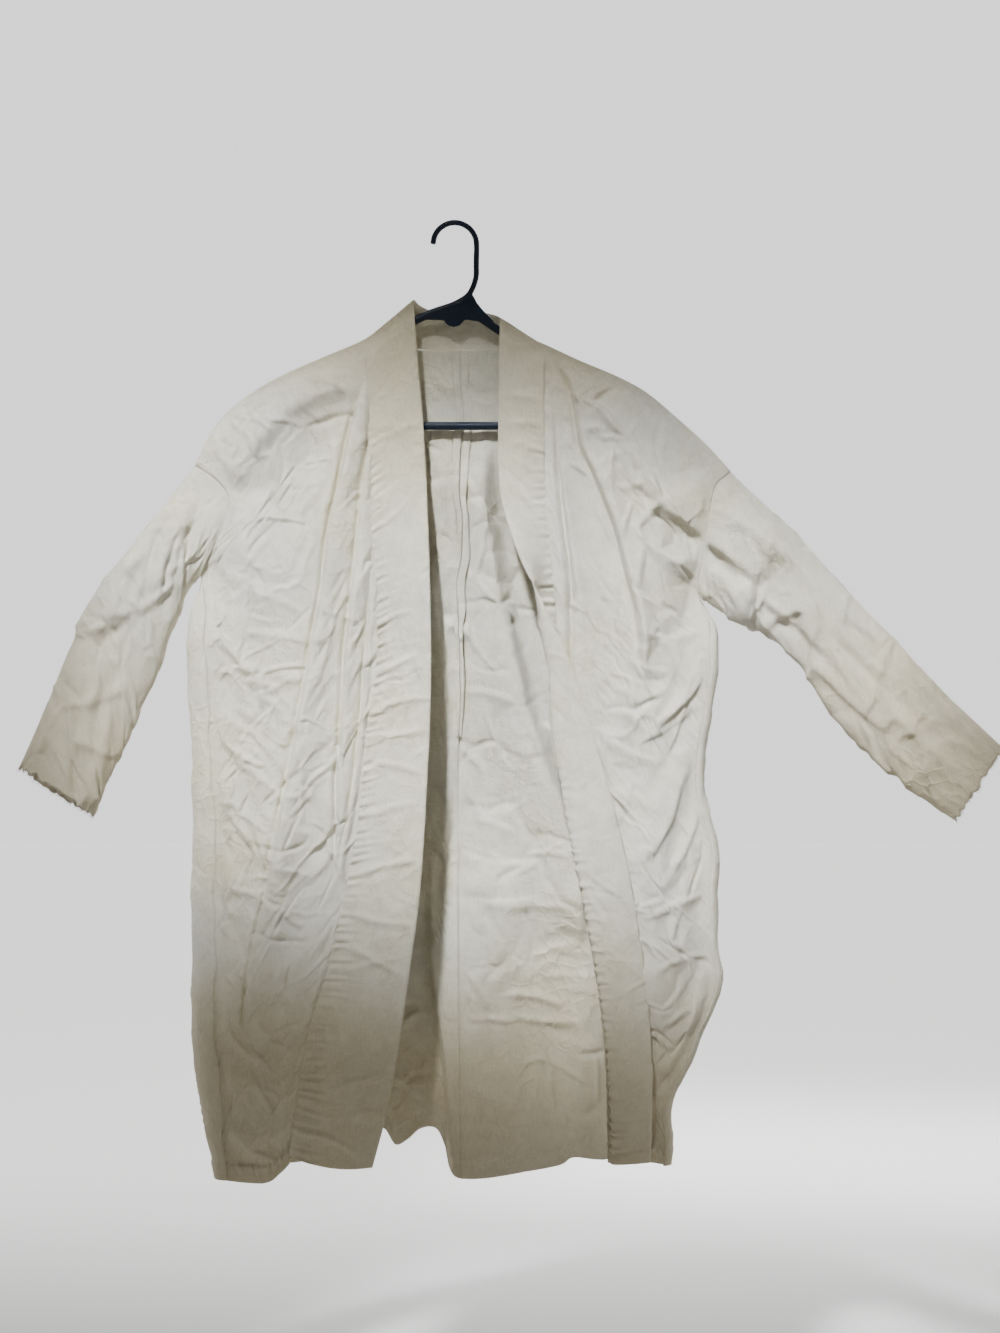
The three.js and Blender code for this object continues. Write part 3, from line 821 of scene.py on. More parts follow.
RIGHT_FRONT_CREASES = [
    (160, -207, 194, -248, 7.0, 3), (194, -248, 221, -284, 7.0, -2), (221, -284, 240, -316, 8.0, 2),
    (160, -215, 190, -190, -6.0, 4), (172, -236, 206, -262, -5.0, 3), (150, -240, 192, -246, 3.0, 5),
    (160, -285, 205, -262, 3.5, 3), (168, -300, 218, -300, 4.0, -6), (240, -322, 212, -354, 6.5, 0),
    (212, -354, 237, -382, 6.0, -2), (237, -382, 270, -414, 6.5, 2), (228, -332, 262, -372, -7.0, 4),
    (215, -372, 212, -420, 4.5, 4), (262, -420, 292, -452, 5.0, 3), (236, -440, 286, -478, -4.0, 6),
    (210, -470, 262, -500, 2.6, 5), (196, -500, 250, -520, 2.2, -4), (288, -528, 232, -580, 2.4, 5),
    (280, -560, 215, -600, 2.6, 4), (190, -560, 245, -612, 3.2, 3), (168, -590, 240, -625, 2.4, -4),
    (290, -640, 240, -600, 2.4, 3), (205, -640, 186, -700, 2.2, 3), (262, -640, 228, -730, 2.4, 5),
    (284, -680, 246, -760, 2.2, 4), (212, -720, 268, -745, 2.0, 4), (228, -800, 290, -780, 2.2, 3),
    (236, -860, 286, -850, 2.0, 4), (244, -930, 270, -910, 2.0, 2),
]


def edge_to_edge(outer, inner, columns):
    """A grid between two edges that are each a list of points from the top down."""
    u = np.linspace(0, 1, columns)[None, :, None]
    return outer[:, None, :] * (1 - u) + inner[:, None, :] * u


LEFT_DRAG_FOLDS = [
    (-112, -186, -232, -250, 8.5, -12), (-205, -236, -272, -318, 9.0, -8), (-140, -232, -255, -330, -7.0, 8),
    (-255, -318, -290, -398, 4.0, 6),
]
RIGHT_DRAG_FOLDS = [
    (150, -205, 236, -300, 4.0, 8), (230, -300, 290, -420, 5.0, -8), (250, -330, 300, -440, -4.0, 6),
]
FRONT_FLAPS = {
    "left": [((-292, -318), (-262, -318), 4.0, 20, 0), ((-296, -404), (-262, -330), 6.0, 22, -4)],
    "right": [((238, -330), (318, -398), 11.0, 38, 5), ((206, -300), (244, -332), 5.0, 20, 2),
              ((252, -392), (300, -432), 6.0, 20, 3), ((296, -520), (226, -596), -2.4, 22, 4)],
}
UNDER_BAND = 7


def front_flat(side):
    """The (x, z) grid of a front panel, between its armhole and side seam and its band seam."""
    outer = along(ARMHOLE[side][:-1] + SIDE_SEAM[side], FRONT_ROWS)
    inner = along(BAND_SEAM[side], FRONT_ROWS)
    inner[:, 0] -= SIGN[side] * UNDER_BAND
    outer[:, 0] += wobble(outer[:, 1], 1.0) * ease(0, 40, ARMHOLE[side][-1][1] - outer[:, 1])
    grid = edge_to_edge(outer, inner, FRONT_COLUMNS)
    top = grid[0, :, 0]
    straight = grid[0, :, 1].copy()
    v = np.linspace(0, 1, FRONT_ROWS)[:, None]
    grid[..., 1] += (z_at(SHOULDER[side], top) - straight)[None, :] * (1 - v) ** 9
    hem_now = grid[-1, :, 1].copy()
    grid[..., 1] += (z_at(HEM[side], grid[-1, :, 0]) - hem_now)[None, :] * v**9
    return grid


def seam_edge_depth(side, z):
    """Depth of the armhole and side seam, which the front and the back share."""
    top, underarm = ARMHOLE[side][0][1], ARMHOLE[side][-1][1]
    t = np.clip((top - z) / (top - underarm), 0, 1)
    armhole = 1.2 + 13 * np.sin(math.pi * t) ** 0.8
    return np.where(z > underarm, armhole, mix(1.2, SEAM_DEPTH, ease(0, 85, underarm - z)))


def front_grid(side):
    flat = front_flat(side)
    x, z = flat[..., 0], flat[..., 1]
    seam_x = flat[:, :1, 0]
    y = front_depth(x, z, seam_x)
    edge = seam_edge_depth(side, flat[:, :1, 1])
    from_edge = np.abs(x - seam_x)
    y = mix(-edge, y, ease(0, 55, from_edge))
    folds = LEFT_FRONT_FOLDS if side == "left" else RIGHT_FRONT_FOLDS
    creases = LEFT_FRONT_CREASES if side == "left" else RIGHT_FRONT_CREASES
    below_shoulder = z_at(SHOULDER[side], x) - z
    calm = ease(0, 16, from_edge) * ease(0, 10, np.abs(x - flat[:, -1:, 0])) * ease(0, 26, below_shoulder)
    pleats = LEFT_FRONT_PLEATS if side == "left" else RIGHT_FRONT_PLEATS
    relief = sum(fold(x, z, *shape) for shape in folds) + all_creases(x, z, creases)
    relief = relief + sum(pleat(x, z, *shape) for shape in pleats)
    relief = relief + sum(flap(x, z, *shape) for shape in FRONT_FLAPS[side])
    relief = relief + all_creases(x, z, LEFT_DRAG_FOLDS if side == "left" else RIGHT_DRAG_FOLDS, 21)
    grid = np.stack([x, y, z], -1)
    u, v = flat_measure(grid)
    relief = relief + crumple(u, v, 100 if side == "left" else 200)
    relief = relief + thin_creases(u, v, 11 if side == "left" else 12, 60, 1.3)
    gathered = puckers(np.abs(x - flat[:, -1:, 0]), v, 31, rise=0.9, reach=9)
    side_pull = puckers(from_edge, v, 37, rise=0.8, reach=14) * ease(0, 60, -450 - z)
    above_hem = v[-1:, :] - v
    relief = relief * mix(0.35, 1, ease(10, 60, above_hem)) + hem_ridge(above_hem, u, 41)
    grid[..., 1] -= relief * calm
    out = normals_of(grid)
    facing = np.where(out[..., 1:2] > 0, -out, out)
    grid += facing * (gathered * ease(0, 80, below_shoulder - 90) + side_pull)[..., None]
    return grid


fronts = {}
for side in ("left", "right"):
    grid = front_grid(side)
    # Painted shade, partly also yellowing of the cotton: darker and yellower toward the hem and over the
    # shoulders, where the light is dimmer.
    painted_shade_and_yellowing = 0.62 * ease(800, 1000, -grid[..., 2]) + 0.55 * ease(-250, -130, grid[..., 2])
    fronts[side] = cloth_object(f"{side}_front_cloth", grid, flip=side == "right", tint=painted_shade_and_yellowing)
    fronts[side].data.materials.append(panel_cotton)
    on_hanger = ease(-262, -246, grid[..., 2]) * (1 - ease(206, 226, np.abs(grid[..., 0])))
    settle(fronts[side], np.maximum(hold_edges(FRONT_ROWS, FRONT_COLUMNS, inside=0.06), on_hanger))

# %% [markdown]
# ## The back panels
#
# The back is two panels joined down the middle. From the front it shows between the bands: its inner
# face, with a deep fold beside the seam. At the sides it turns forward round the edge of the coat and
# meets the fronts at the side seams. A row of the grid is therefore a flat stretch followed by half a
# turn, and the points are spread along it evenly.

# %% Back panels
BACK_ROWS = 330
BACK_COLUMNS = 120
HALF_NECK = 105
TURN_DEPTH = 38
BACK_FOLDS = [
    ([(30, -300), (37, -344), (47, -414), (58, -461), (71, -519), (88, -578), (105, -631), (123, -677),
      (138, -730), (149, -800)], 24.0, 44, 11),
    ([(18, -300), (16, -400), (14, -470), (12, -560)], 5.0, 5, 20),
    ([(-24, -447), (-16, -524), (-9, -584), (-6, -640), (-14, -724), (-26, -742)], 7.0, 22, 5),
    ([(40, -250), (44, -330), (56, -400)], 6.0, 16, 12),
    ([(-14, -250), (-18, -330), (-24, -420)], 5.0, 12, 14),
    ([(150, -820), (156, -900), (150, -1000), (140, -1100)], 10.0, 14, 26),
    ([(60, -780), (70, -900), (78, -1010), (80, -1115)], 6.0, 44, 40),
]
BACK_STEP = [(-24, -700), (-31, -765), (-31, -859), (-22, -924), (-14, -980), (-9, -1048), (-6, -1120)]
BACK_CREASES = [
    (-14, -466, 22, -476, 3.0, 4), (-12, -524, 14, -508, 3.2, 2), (10, -545, 74, -560, 2.4, 5),
    (4, -600, 30, -690, 3.6, -8), (0, -612, 34, -640, 2.6, 4), (30, -795, 100, -790, 3.2, -4),
    (40, -806, 140, -802, 2.2, 5), (60, -905, 128, -920, 4.5, 5), (20, -935, 74, -940, 3.2, 4),
    (70, -930, 150, -936, 4.0, -5), (0, -1010, 50, -1035, 2.4, 4), (20, -1060, 90, -1040, 2.2, 5),
    (60, -985, 80, -1030, 2.0, 4), (-70, -950, -40, -925, 4.0, 3), (-78, -1000, -40, -1030, 3.0, 3),
    (90, -860, 140, -850, 2.0, 4), (24, -700, 70, -715, 2.0, 5), (40, -740, 90, -750, 1.8, -4),
    (-30, -170, -6, -200, 1.8, 3), (16, -180, 44, -170, 1.6, 3), (20, -200, 46, -206, 2.2, -3),
    (-34, -190, 0, -186, 1.8, 3), (-30, -262, -14, -290, 2.0, 2), (26, -262, 44, -300, 2.4, 3),
]
WRAP_WIDTH = {"left": 26, "right": 15}


def back_grid(side):
    sign = SIGN[side]
    u = np.linspace(0, 1, BACK_COLUMNS)[None, :]
    v = np.linspace(0, 1, BACK_ROWS)[:, None]
    armhole_top, underarm = ARMHOLE[side][0], ARMHOLE[side][-1]
    top_x = mix(CENTRE_BACK[0][0], armhole_top[0], u)
    neck = z_at(NECK_SEAM, top_x)
    shoulder = z_at(SHOULDER[side], top_x)
    top_z = np.where(np.abs(top_x) < HALF_NECK, np.minimum(neck, shoulder), shoulder)
    hem_x = mix(6, SIDE[side][-1][0], u)
    for _ in range(3):
        z = mix(top_z, z_at(BACK_HEM, hem_x), v)
        centre = x_at(CENTRE_BACK, z)
        arm_x = x_at(ARMHOLE[side], z)
        in_armhole = z > underarm[1]
        turned = ease(0, 60, underarm[1] - z)
        outer = np.where(in_armhole, arm_x, x_at(SIDE[side], z))
        seam = x_at(SIDE_SEAM[side], z) + wobble(z, 1.0) * ease(0, 40, underarm[1] - z)
        reach = WRAP_WIDTH[side] * turned
        turn_x = outer - sign * reach
        flat_length = np.abs(turn_x - centre)
        turn_length = (reach + TURN_DEPTH) * turned
        run = u * (flat_length + turn_length)
        on_flat = run <= flat_length
        share = np.where(on_flat, 0, (run - flat_length) / np.maximum(turn_length, 1e-6))
        angle = math.pi * np.clip(share, 0, 1)
        x_flat = centre + sign * run
        bend_x = mix(turn_x, seam, ease(0, 1, share))
        hem_x = np.where(on_flat, x_flat, bend_x)[-1:]
    x = np.where(on_flat, x_flat, bend_x + (outer - turn_x) * np.sin(angle))
    deep = back_depth(np.clip(x_flat, -320, 330), z)
    edge = seam_edge_depth(side, z)
    edge = np.where(in_armhole, edge, mix(edge, deep, ease(0, 70, underarm[1] - z)))
    from_turn = np.abs(turn_x - x_flat) * on_flat
    y_flat = mix(edge, deep, ease(0, 60, from_turn))
    front_y = -np.where(in_armhole, edge, seam_edge_depth(side, z))
    y = np.where(on_flat, y_flat, mix(edge, front_y, (1 - np.cos(angle)) / 2))
    grid = np.stack([x, y, z], -1)
    measure_u, measure_v = flat_measure(grid)
    relief = sum(fold(x, z, *shape) for shape in BACK_FOLDS) + all_creases(x, z, BACK_CREASES)
    step = 15 * ease(0, 200, -700 - z) * ease(-5, 3, x - x_at(BACK_STEP, z)) * (1 - ease(20, 90, x)) * on_flat
    relief = relief * on_flat
    creased = crumple(measure_u, measure_v, 300 if side == "left" else 400)
    creased = creased + thin_creases(measure_u, measure_v, 13 if side == "left" else 14, 50, 1.15)
    calm = ease(0, 26, np.where(np.abs(x) < HALF_NECK, z_at(NECK_SEAM, x), z_at(SHOULDER[side], x)) - z)
    calm = calm * ease(0, 8, np.abs(x - centre)) * (1 - 0.75 * ease(0.75, 1, share))
    calm = calm * ease(0, 14, np.abs(x - outer) + 60 * (1 - in_armhole))
    grid[..., 1] -= relief * calm * ease(0, 40, np.abs(turn_x - x_flat)) + step
    out = normals_of(grid)
    if side == "left":
        out = -out
    above_hem = measure_v[-1:, :] - measure_v
    creased = creased * mix(0.35, 1, ease(10, 60, above_hem)) + hem_ridge(above_hem, measure_u, 43)
    creased = creased * (1 - 0.6 * ease(0, 0.3, share))
    grid += out * (creased * calm)[..., None]
    return grid


backs = {}
for side in ("left", "right"):
    grid = back_grid(side)
    # Painted shade, partly also yellowing of the cotton: darker and yellower toward the hem.
    painted_shade_and_yellowing = 0.55 * ease(820, 1020, -grid[..., 2])
    backs[side] = cloth_object(f"{side}_back_cloth", grid, flip=side == "left", tint=painted_shade_and_yellowing)
    backs[side].data.materials.append(panel_cotton)

# %% [markdown]
# ## The front bands
#
# The band is one strip folded double: its free edge is the fold, and its raw edges are caught in the
# topstitched seam. It is lofted as a flat closed tube, so that the fold is round and the strip has a real
# inside. The right one rolls outward like a lapel from chest height down, which is why its free edge
# crosses over its own stitching.

# %% Front bands
BAND_ROWS = 440
BAND_ACROSS = 30
BAND_THICKNESS = 2.2
BAND_LENGTH = 990
BAND_TOP, RIGHT_BAND_END = 141, 1086

LAPEL_EDGE = [(53, -109), (51, -239), (52, -300), (59, -340), (78, -397), (100, -438), (119, -478),
              (137, -520), (155, -578), (172, -634), (190, -700), (207, -784), (222, -887), (228, -980),
              (226, -1100)]
LAPEL_LEFT = [(94, -430), (98, -460), (101, -484), (110, -525), (113, -578), (122, -634), (134, -700),
              (152, -784), (171, -887), (181, -980), (184, -1098)]
LAPEL_LIFT = [(0, -109), (0, -260), (9, -320), (27, -385), (27, -438), (23, -484), (19, -530), (15, -600),
              (12, -800), (9, -1100)]


def lapel(count):
    """The right band's cross-sections: across the coat, forward of it, and height, at each row."""
    z = -np.linspace(BAND_TOP, RIGHT_BAND_END, count)[:, None]
    seam, edge = x_at(BAND_SEAM["right"], z), x_at(LAPEL_EDGE, z)
    left, lift = x_at(LAPEL_LEFT, z), x_at(LAPEL_LIFT, z)
    rolled = ease(0, 80, -360 - z)
    bulge = (left - (seam + edge) / 8) / 0.75
    first = mix(mix(seam, edge, 1 / 3), bulge, rolled)
    second = mix(mix(seam, edge, 2 / 3), bulge, rolled)
    t = np.linspace(0, 1, 4 * BAND_ACROSS)[None, :]
    x = (1 - t)**3 * seam + 3 * (1 - t)**2 * t * first + 3 * (1 - t) * t**2 * second + t**3 * edge
    forward = 3 * (1 - t) * t**2 * lift + t**3 * lift + 2.0 * np.sin(math.pi * t) * rolled
    rows = np.zeros((count, BAND_ACROSS))
    across, ahead = rows.copy(), rows.copy()
    for row in range(count):
        run = np.r_[0, np.cumsum(np.hypot(np.diff(x[row]), np.diff(forward[row])))]
        at = np.linspace(0, run[-1], BAND_ACROSS)
        across[row], ahead[row] = np.interp(at, run, x[row]), np.interp(at, run, forward[row])
        rows[row] = at
    return across, ahead, rows, z


def stitch_distance(side, z):
    """How far the topstitching runs from the band's outer edge."""
    return 3.0 + (14 * ease(0, 110, -800 - z) if side == "left" else 0 * z)


def band_grid(side):
    length = np.linspace(0, BAND_LENGTH, BAND_ROWS)[:, None]
    seed = 500 if side == "left" else 600
    if side == "left":
        seam, edge = along(BAND_SEAM[side], BAND_ROWS), along(BAND_EDGE_LEFT, BAND_ROWS)
        way = edge - seam
        width = np.linalg.norm(way, axis=1, keepdims=True)
        s = np.linspace(0, 1, BAND_ACROSS)[None, :]
        x, z = seam[:, :1] + way[:, :1] * s, seam[:, 1:2] + way[:, 1:2] * s
        z = z - 7 * np.sin(math.pi * s) * ease(BAND_LENGTH - 100, BAND_LENGTH, length)
        measure, lift, face_up = s * width, 0 * x, 1
        chart = LEFT_BAND_CREASES
    else:
        x, lift, measure, z_row = lapel(BAND_ROWS)
        neck_rise = 32 * (1 - ease(0, 200, -BAND_TOP - z_row)) * (105 - x) / 52
        z = z_row + np.clip(neck_rise, 0, 40) + 0 * x
        chart = RIGHT_BAND_CREASES
    base = front_depth(x, z, x * 0 + SIGN[side] * 277)
    base = mix(base, -1.0, 1 - ease(0, 26, z_at(SHOULDER[side], x) - z))
    centre = np.stack([x, base - lift - BAND_THICKNESS / 2 - 0.6, z], -1)
    out = normals_of(centre)
    out = np.where(np.mean(out[:20, :, 1]) > 0, -out, out)
    stitch_at = stitch_distance(side, z[:, :1])
    relief = puckers(measure - stitch_at, length, seed, rise=2.0, reach=16) * ease(60, 190, length)
    relief = relief + 0.45 * crumple(measure, length, seed + 30)
    relief = relief + thin_creases(measure + 0 * length, length + 0 * measure, seed + 31, 30, 0.6)
    relief = relief + all_creases(x, z, chart, 5) * (1 if side == "left" else z > -420)
    relief = relief * ease(0, 14, length)
    centre += out * relief[..., None]
    t = np.linspace(0, 1, BAND_ACROSS)[None, :, None]
    half = BAND_THICKNESS / 2 * np.clip(1 - (2 * t - 1) ** 12, 0.02, 1) ** 0.5
    face = centre + out * half
    rear = centre - out * half
    return np.concatenate([face, rear[:, ::-1]], 1)


LEFT_BAND_CREASES = [
    (-100, -262, -40, -232, 1.6, 3), (-96, -330, -60, -300, 1.4, 2), (-92, -470, -50, -452, 2.4, 3),
    (-88, -520, -45, -500, 2.2, -3), (-96, -570, -38, -552, 3.0, 4), (-92, -596, -36, -588, 3.2, -2),
    (-96, -626, -34, -640, 2.6, 3), (-100, -690, -45, -672, 2.0, 3), (-110, -755, -40, -738, 3.4, 3),
    (-118, -800, -46, -812, 3.0, -3), (-124, -838, -58, -872, 3.2, 3), (-130, -868, -60, -850, 2.6, 3),
    (-136, -905, -84, -938, 2.2, 3), (-140, -1000, -76, -985, 2.0, 3), (-166, -1050, -110, -1075, 2.6, 4),
    (-98, -236, -42, -234, 1.6, 0),
]
RIGHT_BAND_CREASES = [
    (56, -128, 88, -140, 3.4, -6), (88, -140, 104, -128, 3.0, -3), (56, -200, 100, -206, 2.0, 3),
    (60, -262, 84, -256, 2.2, 3), (84, -262, 108, -268, 2.4, 3), (62, -300, 90, -330, 2.2, 2),
    (58, -232, 106, -232, 1.6, 0),
]
bands = {}
for side in ("left", "right"):
    grid = band_grid(side)
    # Painted shade, partly also yellowing of the cotton: darker and yellower toward the hem and over the
    # shoulders.
    painted_shade_and_yellowing = 0.58 * ease(800, 1000, -grid[..., 2]) + 0.50 * ease(-420, -130, grid[..., 2])
    bands[side] = cloth_object(f"{side}_band_cloth", grid, ring=True, thickness=0, tint=painted_shade_and_yellowing)
    bands[side].data.materials.append(band_cotton)

# %% Close the ends of a band
def close_ends(piece):
    """Sews the open ends of a lofted tube shut and turns all faces outward."""
    b = bmesh.new()
    b.from_mesh(piece.data)
    rims = [e for e in b.edges if e.is_boundary]
    bmesh.ops.holes_fill(b, edges=rims, sides=0)
    bmesh.ops.triangulate(b, faces=[f for f in b.faces if len(f.verts) > 4])
    bmesh.ops.recalc_face_normals(b, faces=b.faces)
    b.to_mesh(piece.data)
    b.free()


for band in bands.values():
    close_ends(band)

# %% [markdown]
# ## The neck band
#
# Behind the neck the same folded strip stands up from the neck seam and leans a little back. It ends on
# the shoulders, where the front bands go on.

# %% Neck band
NECK_ROWS = 90
neck_seam_line = along([(-105, 1, -136), (-84, 8, -141), (-50, 14, -143), (3, 16, -145), (60, 14, -145),
                        (88, 8, -144), (105, 1, -141)], NECK_ROWS)
neck_fold_line = along([(-47, 0, -87), (-40, 8, -93), (-22, 17, -99), (3, 21, -98), (30, 19, -99),
                        (48, 10, -104), (54, 0, -109)], NECK_ROWS)
across = np.linspace(0, 1, 16)[None, :, None]
neck = neck_seam_line[:, None] * (1 - across) + neck_fold_line[:, None] * across
neck_u, neck_v = flat_measure(neck)
neck[..., 1] += 3.0 * np.sin(across[..., 0] * math.pi) + 0.5 * crumple(neck_u, neck_v, 700)
neck_out = normals_of(neck)
neck_half = BAND_THICKNESS / 2 * np.clip(1 - (2 * across - 1) ** 12, 0.02, 1) ** 0.5
neck_piece = cloth_object("neck_band_cloth", np.concatenate([neck + neck_out * neck_half,
                                                            (neck - neck_out * neck_half)[:, ::-1]], 1),
                          ring=True, thickness=0)
neck_piece.data.materials.append(band_cotton)
close_ends(neck_piece)

# %% [markdown]
# ## Sleeves
#
# A sleeve is a tube sewn into the armhole. Its first ring is the armhole itself and the last is the cuff;
# between them each ring spans the upper and the lower outline. The rings are joined by smooth curves, and
# creases run along and across the sleeve.

# %% Sleeves
SLEEVE_AROUND = 110
SLEEVE_STEPS = 170
SLEEVE_STATIONS = {
    # upper edge, lower edge, half depth
    "left": [((-345, -335), (-314, -430), 22), ((-390, -391), (-339, -502), 23),
             ((-420, -436), (-357, -547), 21), ((-448, -490), (-380, -601), 20),
             ((-480, -569), (-402, -642), 19), ((-509, -634), (-427, -688), 17)],
    "right": [((364, -328), (318, -450), 23), ((404, -367), (352, -470), 24), ((474, -443), (405, -512), 22),
              ((515, -487), (438, -565), 20), ((556, -531), (497, -631), 19), ((641, -611), (585, -696), 17)],
}
SLEEVE_FOLDS = {
    "left": [(-300, -300, -350, -420, 3, 4), (-330, -330, -400, -470, 3, -6),
             (-345, -440, -440, -478, 6, 6), (-340, -420, -425, -500, -4, 4),
             (-446, -510, -452, -670, 5.5, 3), (-400, -560, -420, -660, 4, 3),
             (-380, -540, -440, -560, 3, 3), (-300, -360, -330, -430, 2.2, 3),
             (-470, -560, -490, -640, 3, 3), (-360, -390, -410, -420, 2.5, 4),
             (-310, -320, -350, -350, 2, 3), (-390, -620, -440, -600, 2.5, 3)],
    "right": [(300, -330, 390, -400, 6, 6), (310, -380, 400, -470, 5.5, -5), (330, -420, 376, -482, 6, 4),
              (352, -440, 440, -520, -5, 5), (342, -360, 470, -470, 4.5, 5), (400, -420, 520, -540, 4, -6),
              (440, -500, 580, -640, 5, 6), (470, -480, 600, -600, 4, 5), (380, -470, 430, -560, 4, 3),
              (300, -400, 345, -460, 6, 4), (520, -560, 560, -660, 3, 3), (360, -350, 410, -372, 2.5, 3),
              (540, -540, 630, -630, 3, 3), (440, -440, 452, -500, 2.5, 3)],
}


SLEEVE_FLAPS = {
    "left": [((-448, -478), (-386, -458), 4.5, 40, 3), ((-392, -461), (-330, -426), 4.5, 42, -4),
             ((-443, -520), (-446, -604), 5.5, 44, -2), ((-446, -596), (-441, -690), 6.0, 44, 2),
             ((-432, -488), (-446, -520), 3.5, 20, 0), ((-330, -424), (-300, -330), 3.2, 26, 3)],
    "right": [((288, -370), (349, -420), 11.0, 40, 4), ((350, -462), (346, -416), 7.0, 24, 0),
              ((438, -484), (324, -296), 6.0, 48, -6), ((577, -628), (432, -478), 5.5, 44, 6),
              ((366, -470), (404, -452), 4.0, 20, 3), ((396, -446), (418, -530), 5.0, 26, 4),
              ((424, -520), (500, -590), 4.0, 24, -4), ((470, -470), (560, -560), 3.0, 22, 4)],
}


def sleeve_grid(side):
    angle = np.linspace(0, 2 * math.pi, SLEEVE_AROUND, endpoint=False)
    drop = (1 - np.cos(angle)) / 2
    rings = []
    loop = along(ARMHOLE[side], 200)
    t = np.where(angle <= math.pi, angle / math.pi, 2 - angle / math.pi)
    at = np.stack([np.interp(t, np.linspace(0, 1, 200), loop[:, k]) for k in (0, 1)], -1)
    depth = (seam_edge_depth(side, at[:, 1]) * 0.99 - 0.25) * np.where(np.sin(angle) >= 0, -1, 1)
    rings.append(np.stack([at[:, 0] - SIGN[side] * 1.5, depth, at[:, 1]], -1))
    for upper, lower, half in SLEEVE_STATIONS[side]:
        place = np.array(upper)[None] * (1 - drop[:, None]) + np.array(lower)[None] * drop[:, None]
        rings.append(np.stack([place[:, 0], -half * np.sign(np.sin(angle)) * np.abs(np.sin(angle)) ** 0.8,
                               place[:, 1]], -1))
    rings = np.array(rings)
    flat_rings = rings.reshape(len(rings), -1)
    grid = smooth_line(flat_rings, SLEEVE_STEPS).reshape(SLEEVE_STEPS, SLEEVE_AROUND, 3)
    u, v = flat_measure(grid, True)
    u, v = u[:, :-1], v[:, :-1]
    out = normals_of(grid, True)
    middle_line = grid.mean(1, keepdims=True)
    if np.mean(np.sum(out * (grid - middle_line), 2)) < 0:
        out = -out
    x, z = grid[..., 0], grid[..., 2]
    front = ease(-2, 8, -grid[..., 1])
    seed = 800 if side == "left" else 900
    blend_round = ease(0, 0.08, np.minimum(angle, 2 * math.pi - angle) / (2 * math.pi))[None, :]
    relief = all_creases(x, z, SLEEVE_FOLDS[side], 9) * (0.35 + 0.65 * front)
    relief = relief + sum(flap(x, z, *shape) for shape in SLEEVE_FLAPS[side]) * front
    relief = relief + 1.3 * crumple(u, v, seed) * blend_round
    relief = relief + thin_creases(u, v, seed + 3, 40, 1.1) * blend_round
    step = np.arange(SLEEVE_STEPS)[:, None]
    calm = ease(0, 14, v) * mix(1.0, 0.75, ease(SLEEVE_STEPS - 12, SLEEVE_STEPS - 1, step))
    grid = grid + out * (relief * calm)[..., None]
    round_cuff, still = angle[None, :] * 40, angle[None, :] * 0
    ragged = 5 * swell(round_cuff, still, 9, seed + 60) + 2 * swell(round_cuff, still, 3, seed + 61)
    last = ease(SLEEVE_STEPS - 30, SLEEVE_STEPS - 1, step)
    axis = rings[-1].mean(0) - rings[-2].mean(0)
    axis = axis / np.linalg.norm(axis)
    ragged = ragged - (5 if side == "left" else 2) * np.sin(angle)[None, :]
    return grid + axis[None, None] * (ragged * last)[..., None]


sleeves = {}
for side in ("left", "right"):
    grid = sleeve_grid(side)
    # Painted shade, partly also yellowing of the cotton: each sleeve turns darker and yellower from the
    # armhole to the cuff.
    sleeve_shade_and_yellowing = 0.62 * ease(0.10, 0.95, np.linspace(0, 1, SLEEVE_STEPS))[:, None] + 0 * grid[..., 0]
    sleeves[side] = cloth_object(f"{side}_sleeve_cloth", grid, ring=True, flip=side == "right", tint=sleeve_shade_and_yellowing)
    sleeves[side].data.materials.append(panel_cotton)

# %% [markdown]
# ## Stitches and frayed threads
#
# Sewing is one small shape repeated along a line, which is what Geometry Nodes is for. A line is taken off
# the finished cloth, cut into equal steps, and a short thread is laid at each, a little askew, because
# hand-guided stitching is never even. The same nodes with longer threads and more spread make the frayed
# edge of a raw cuff.

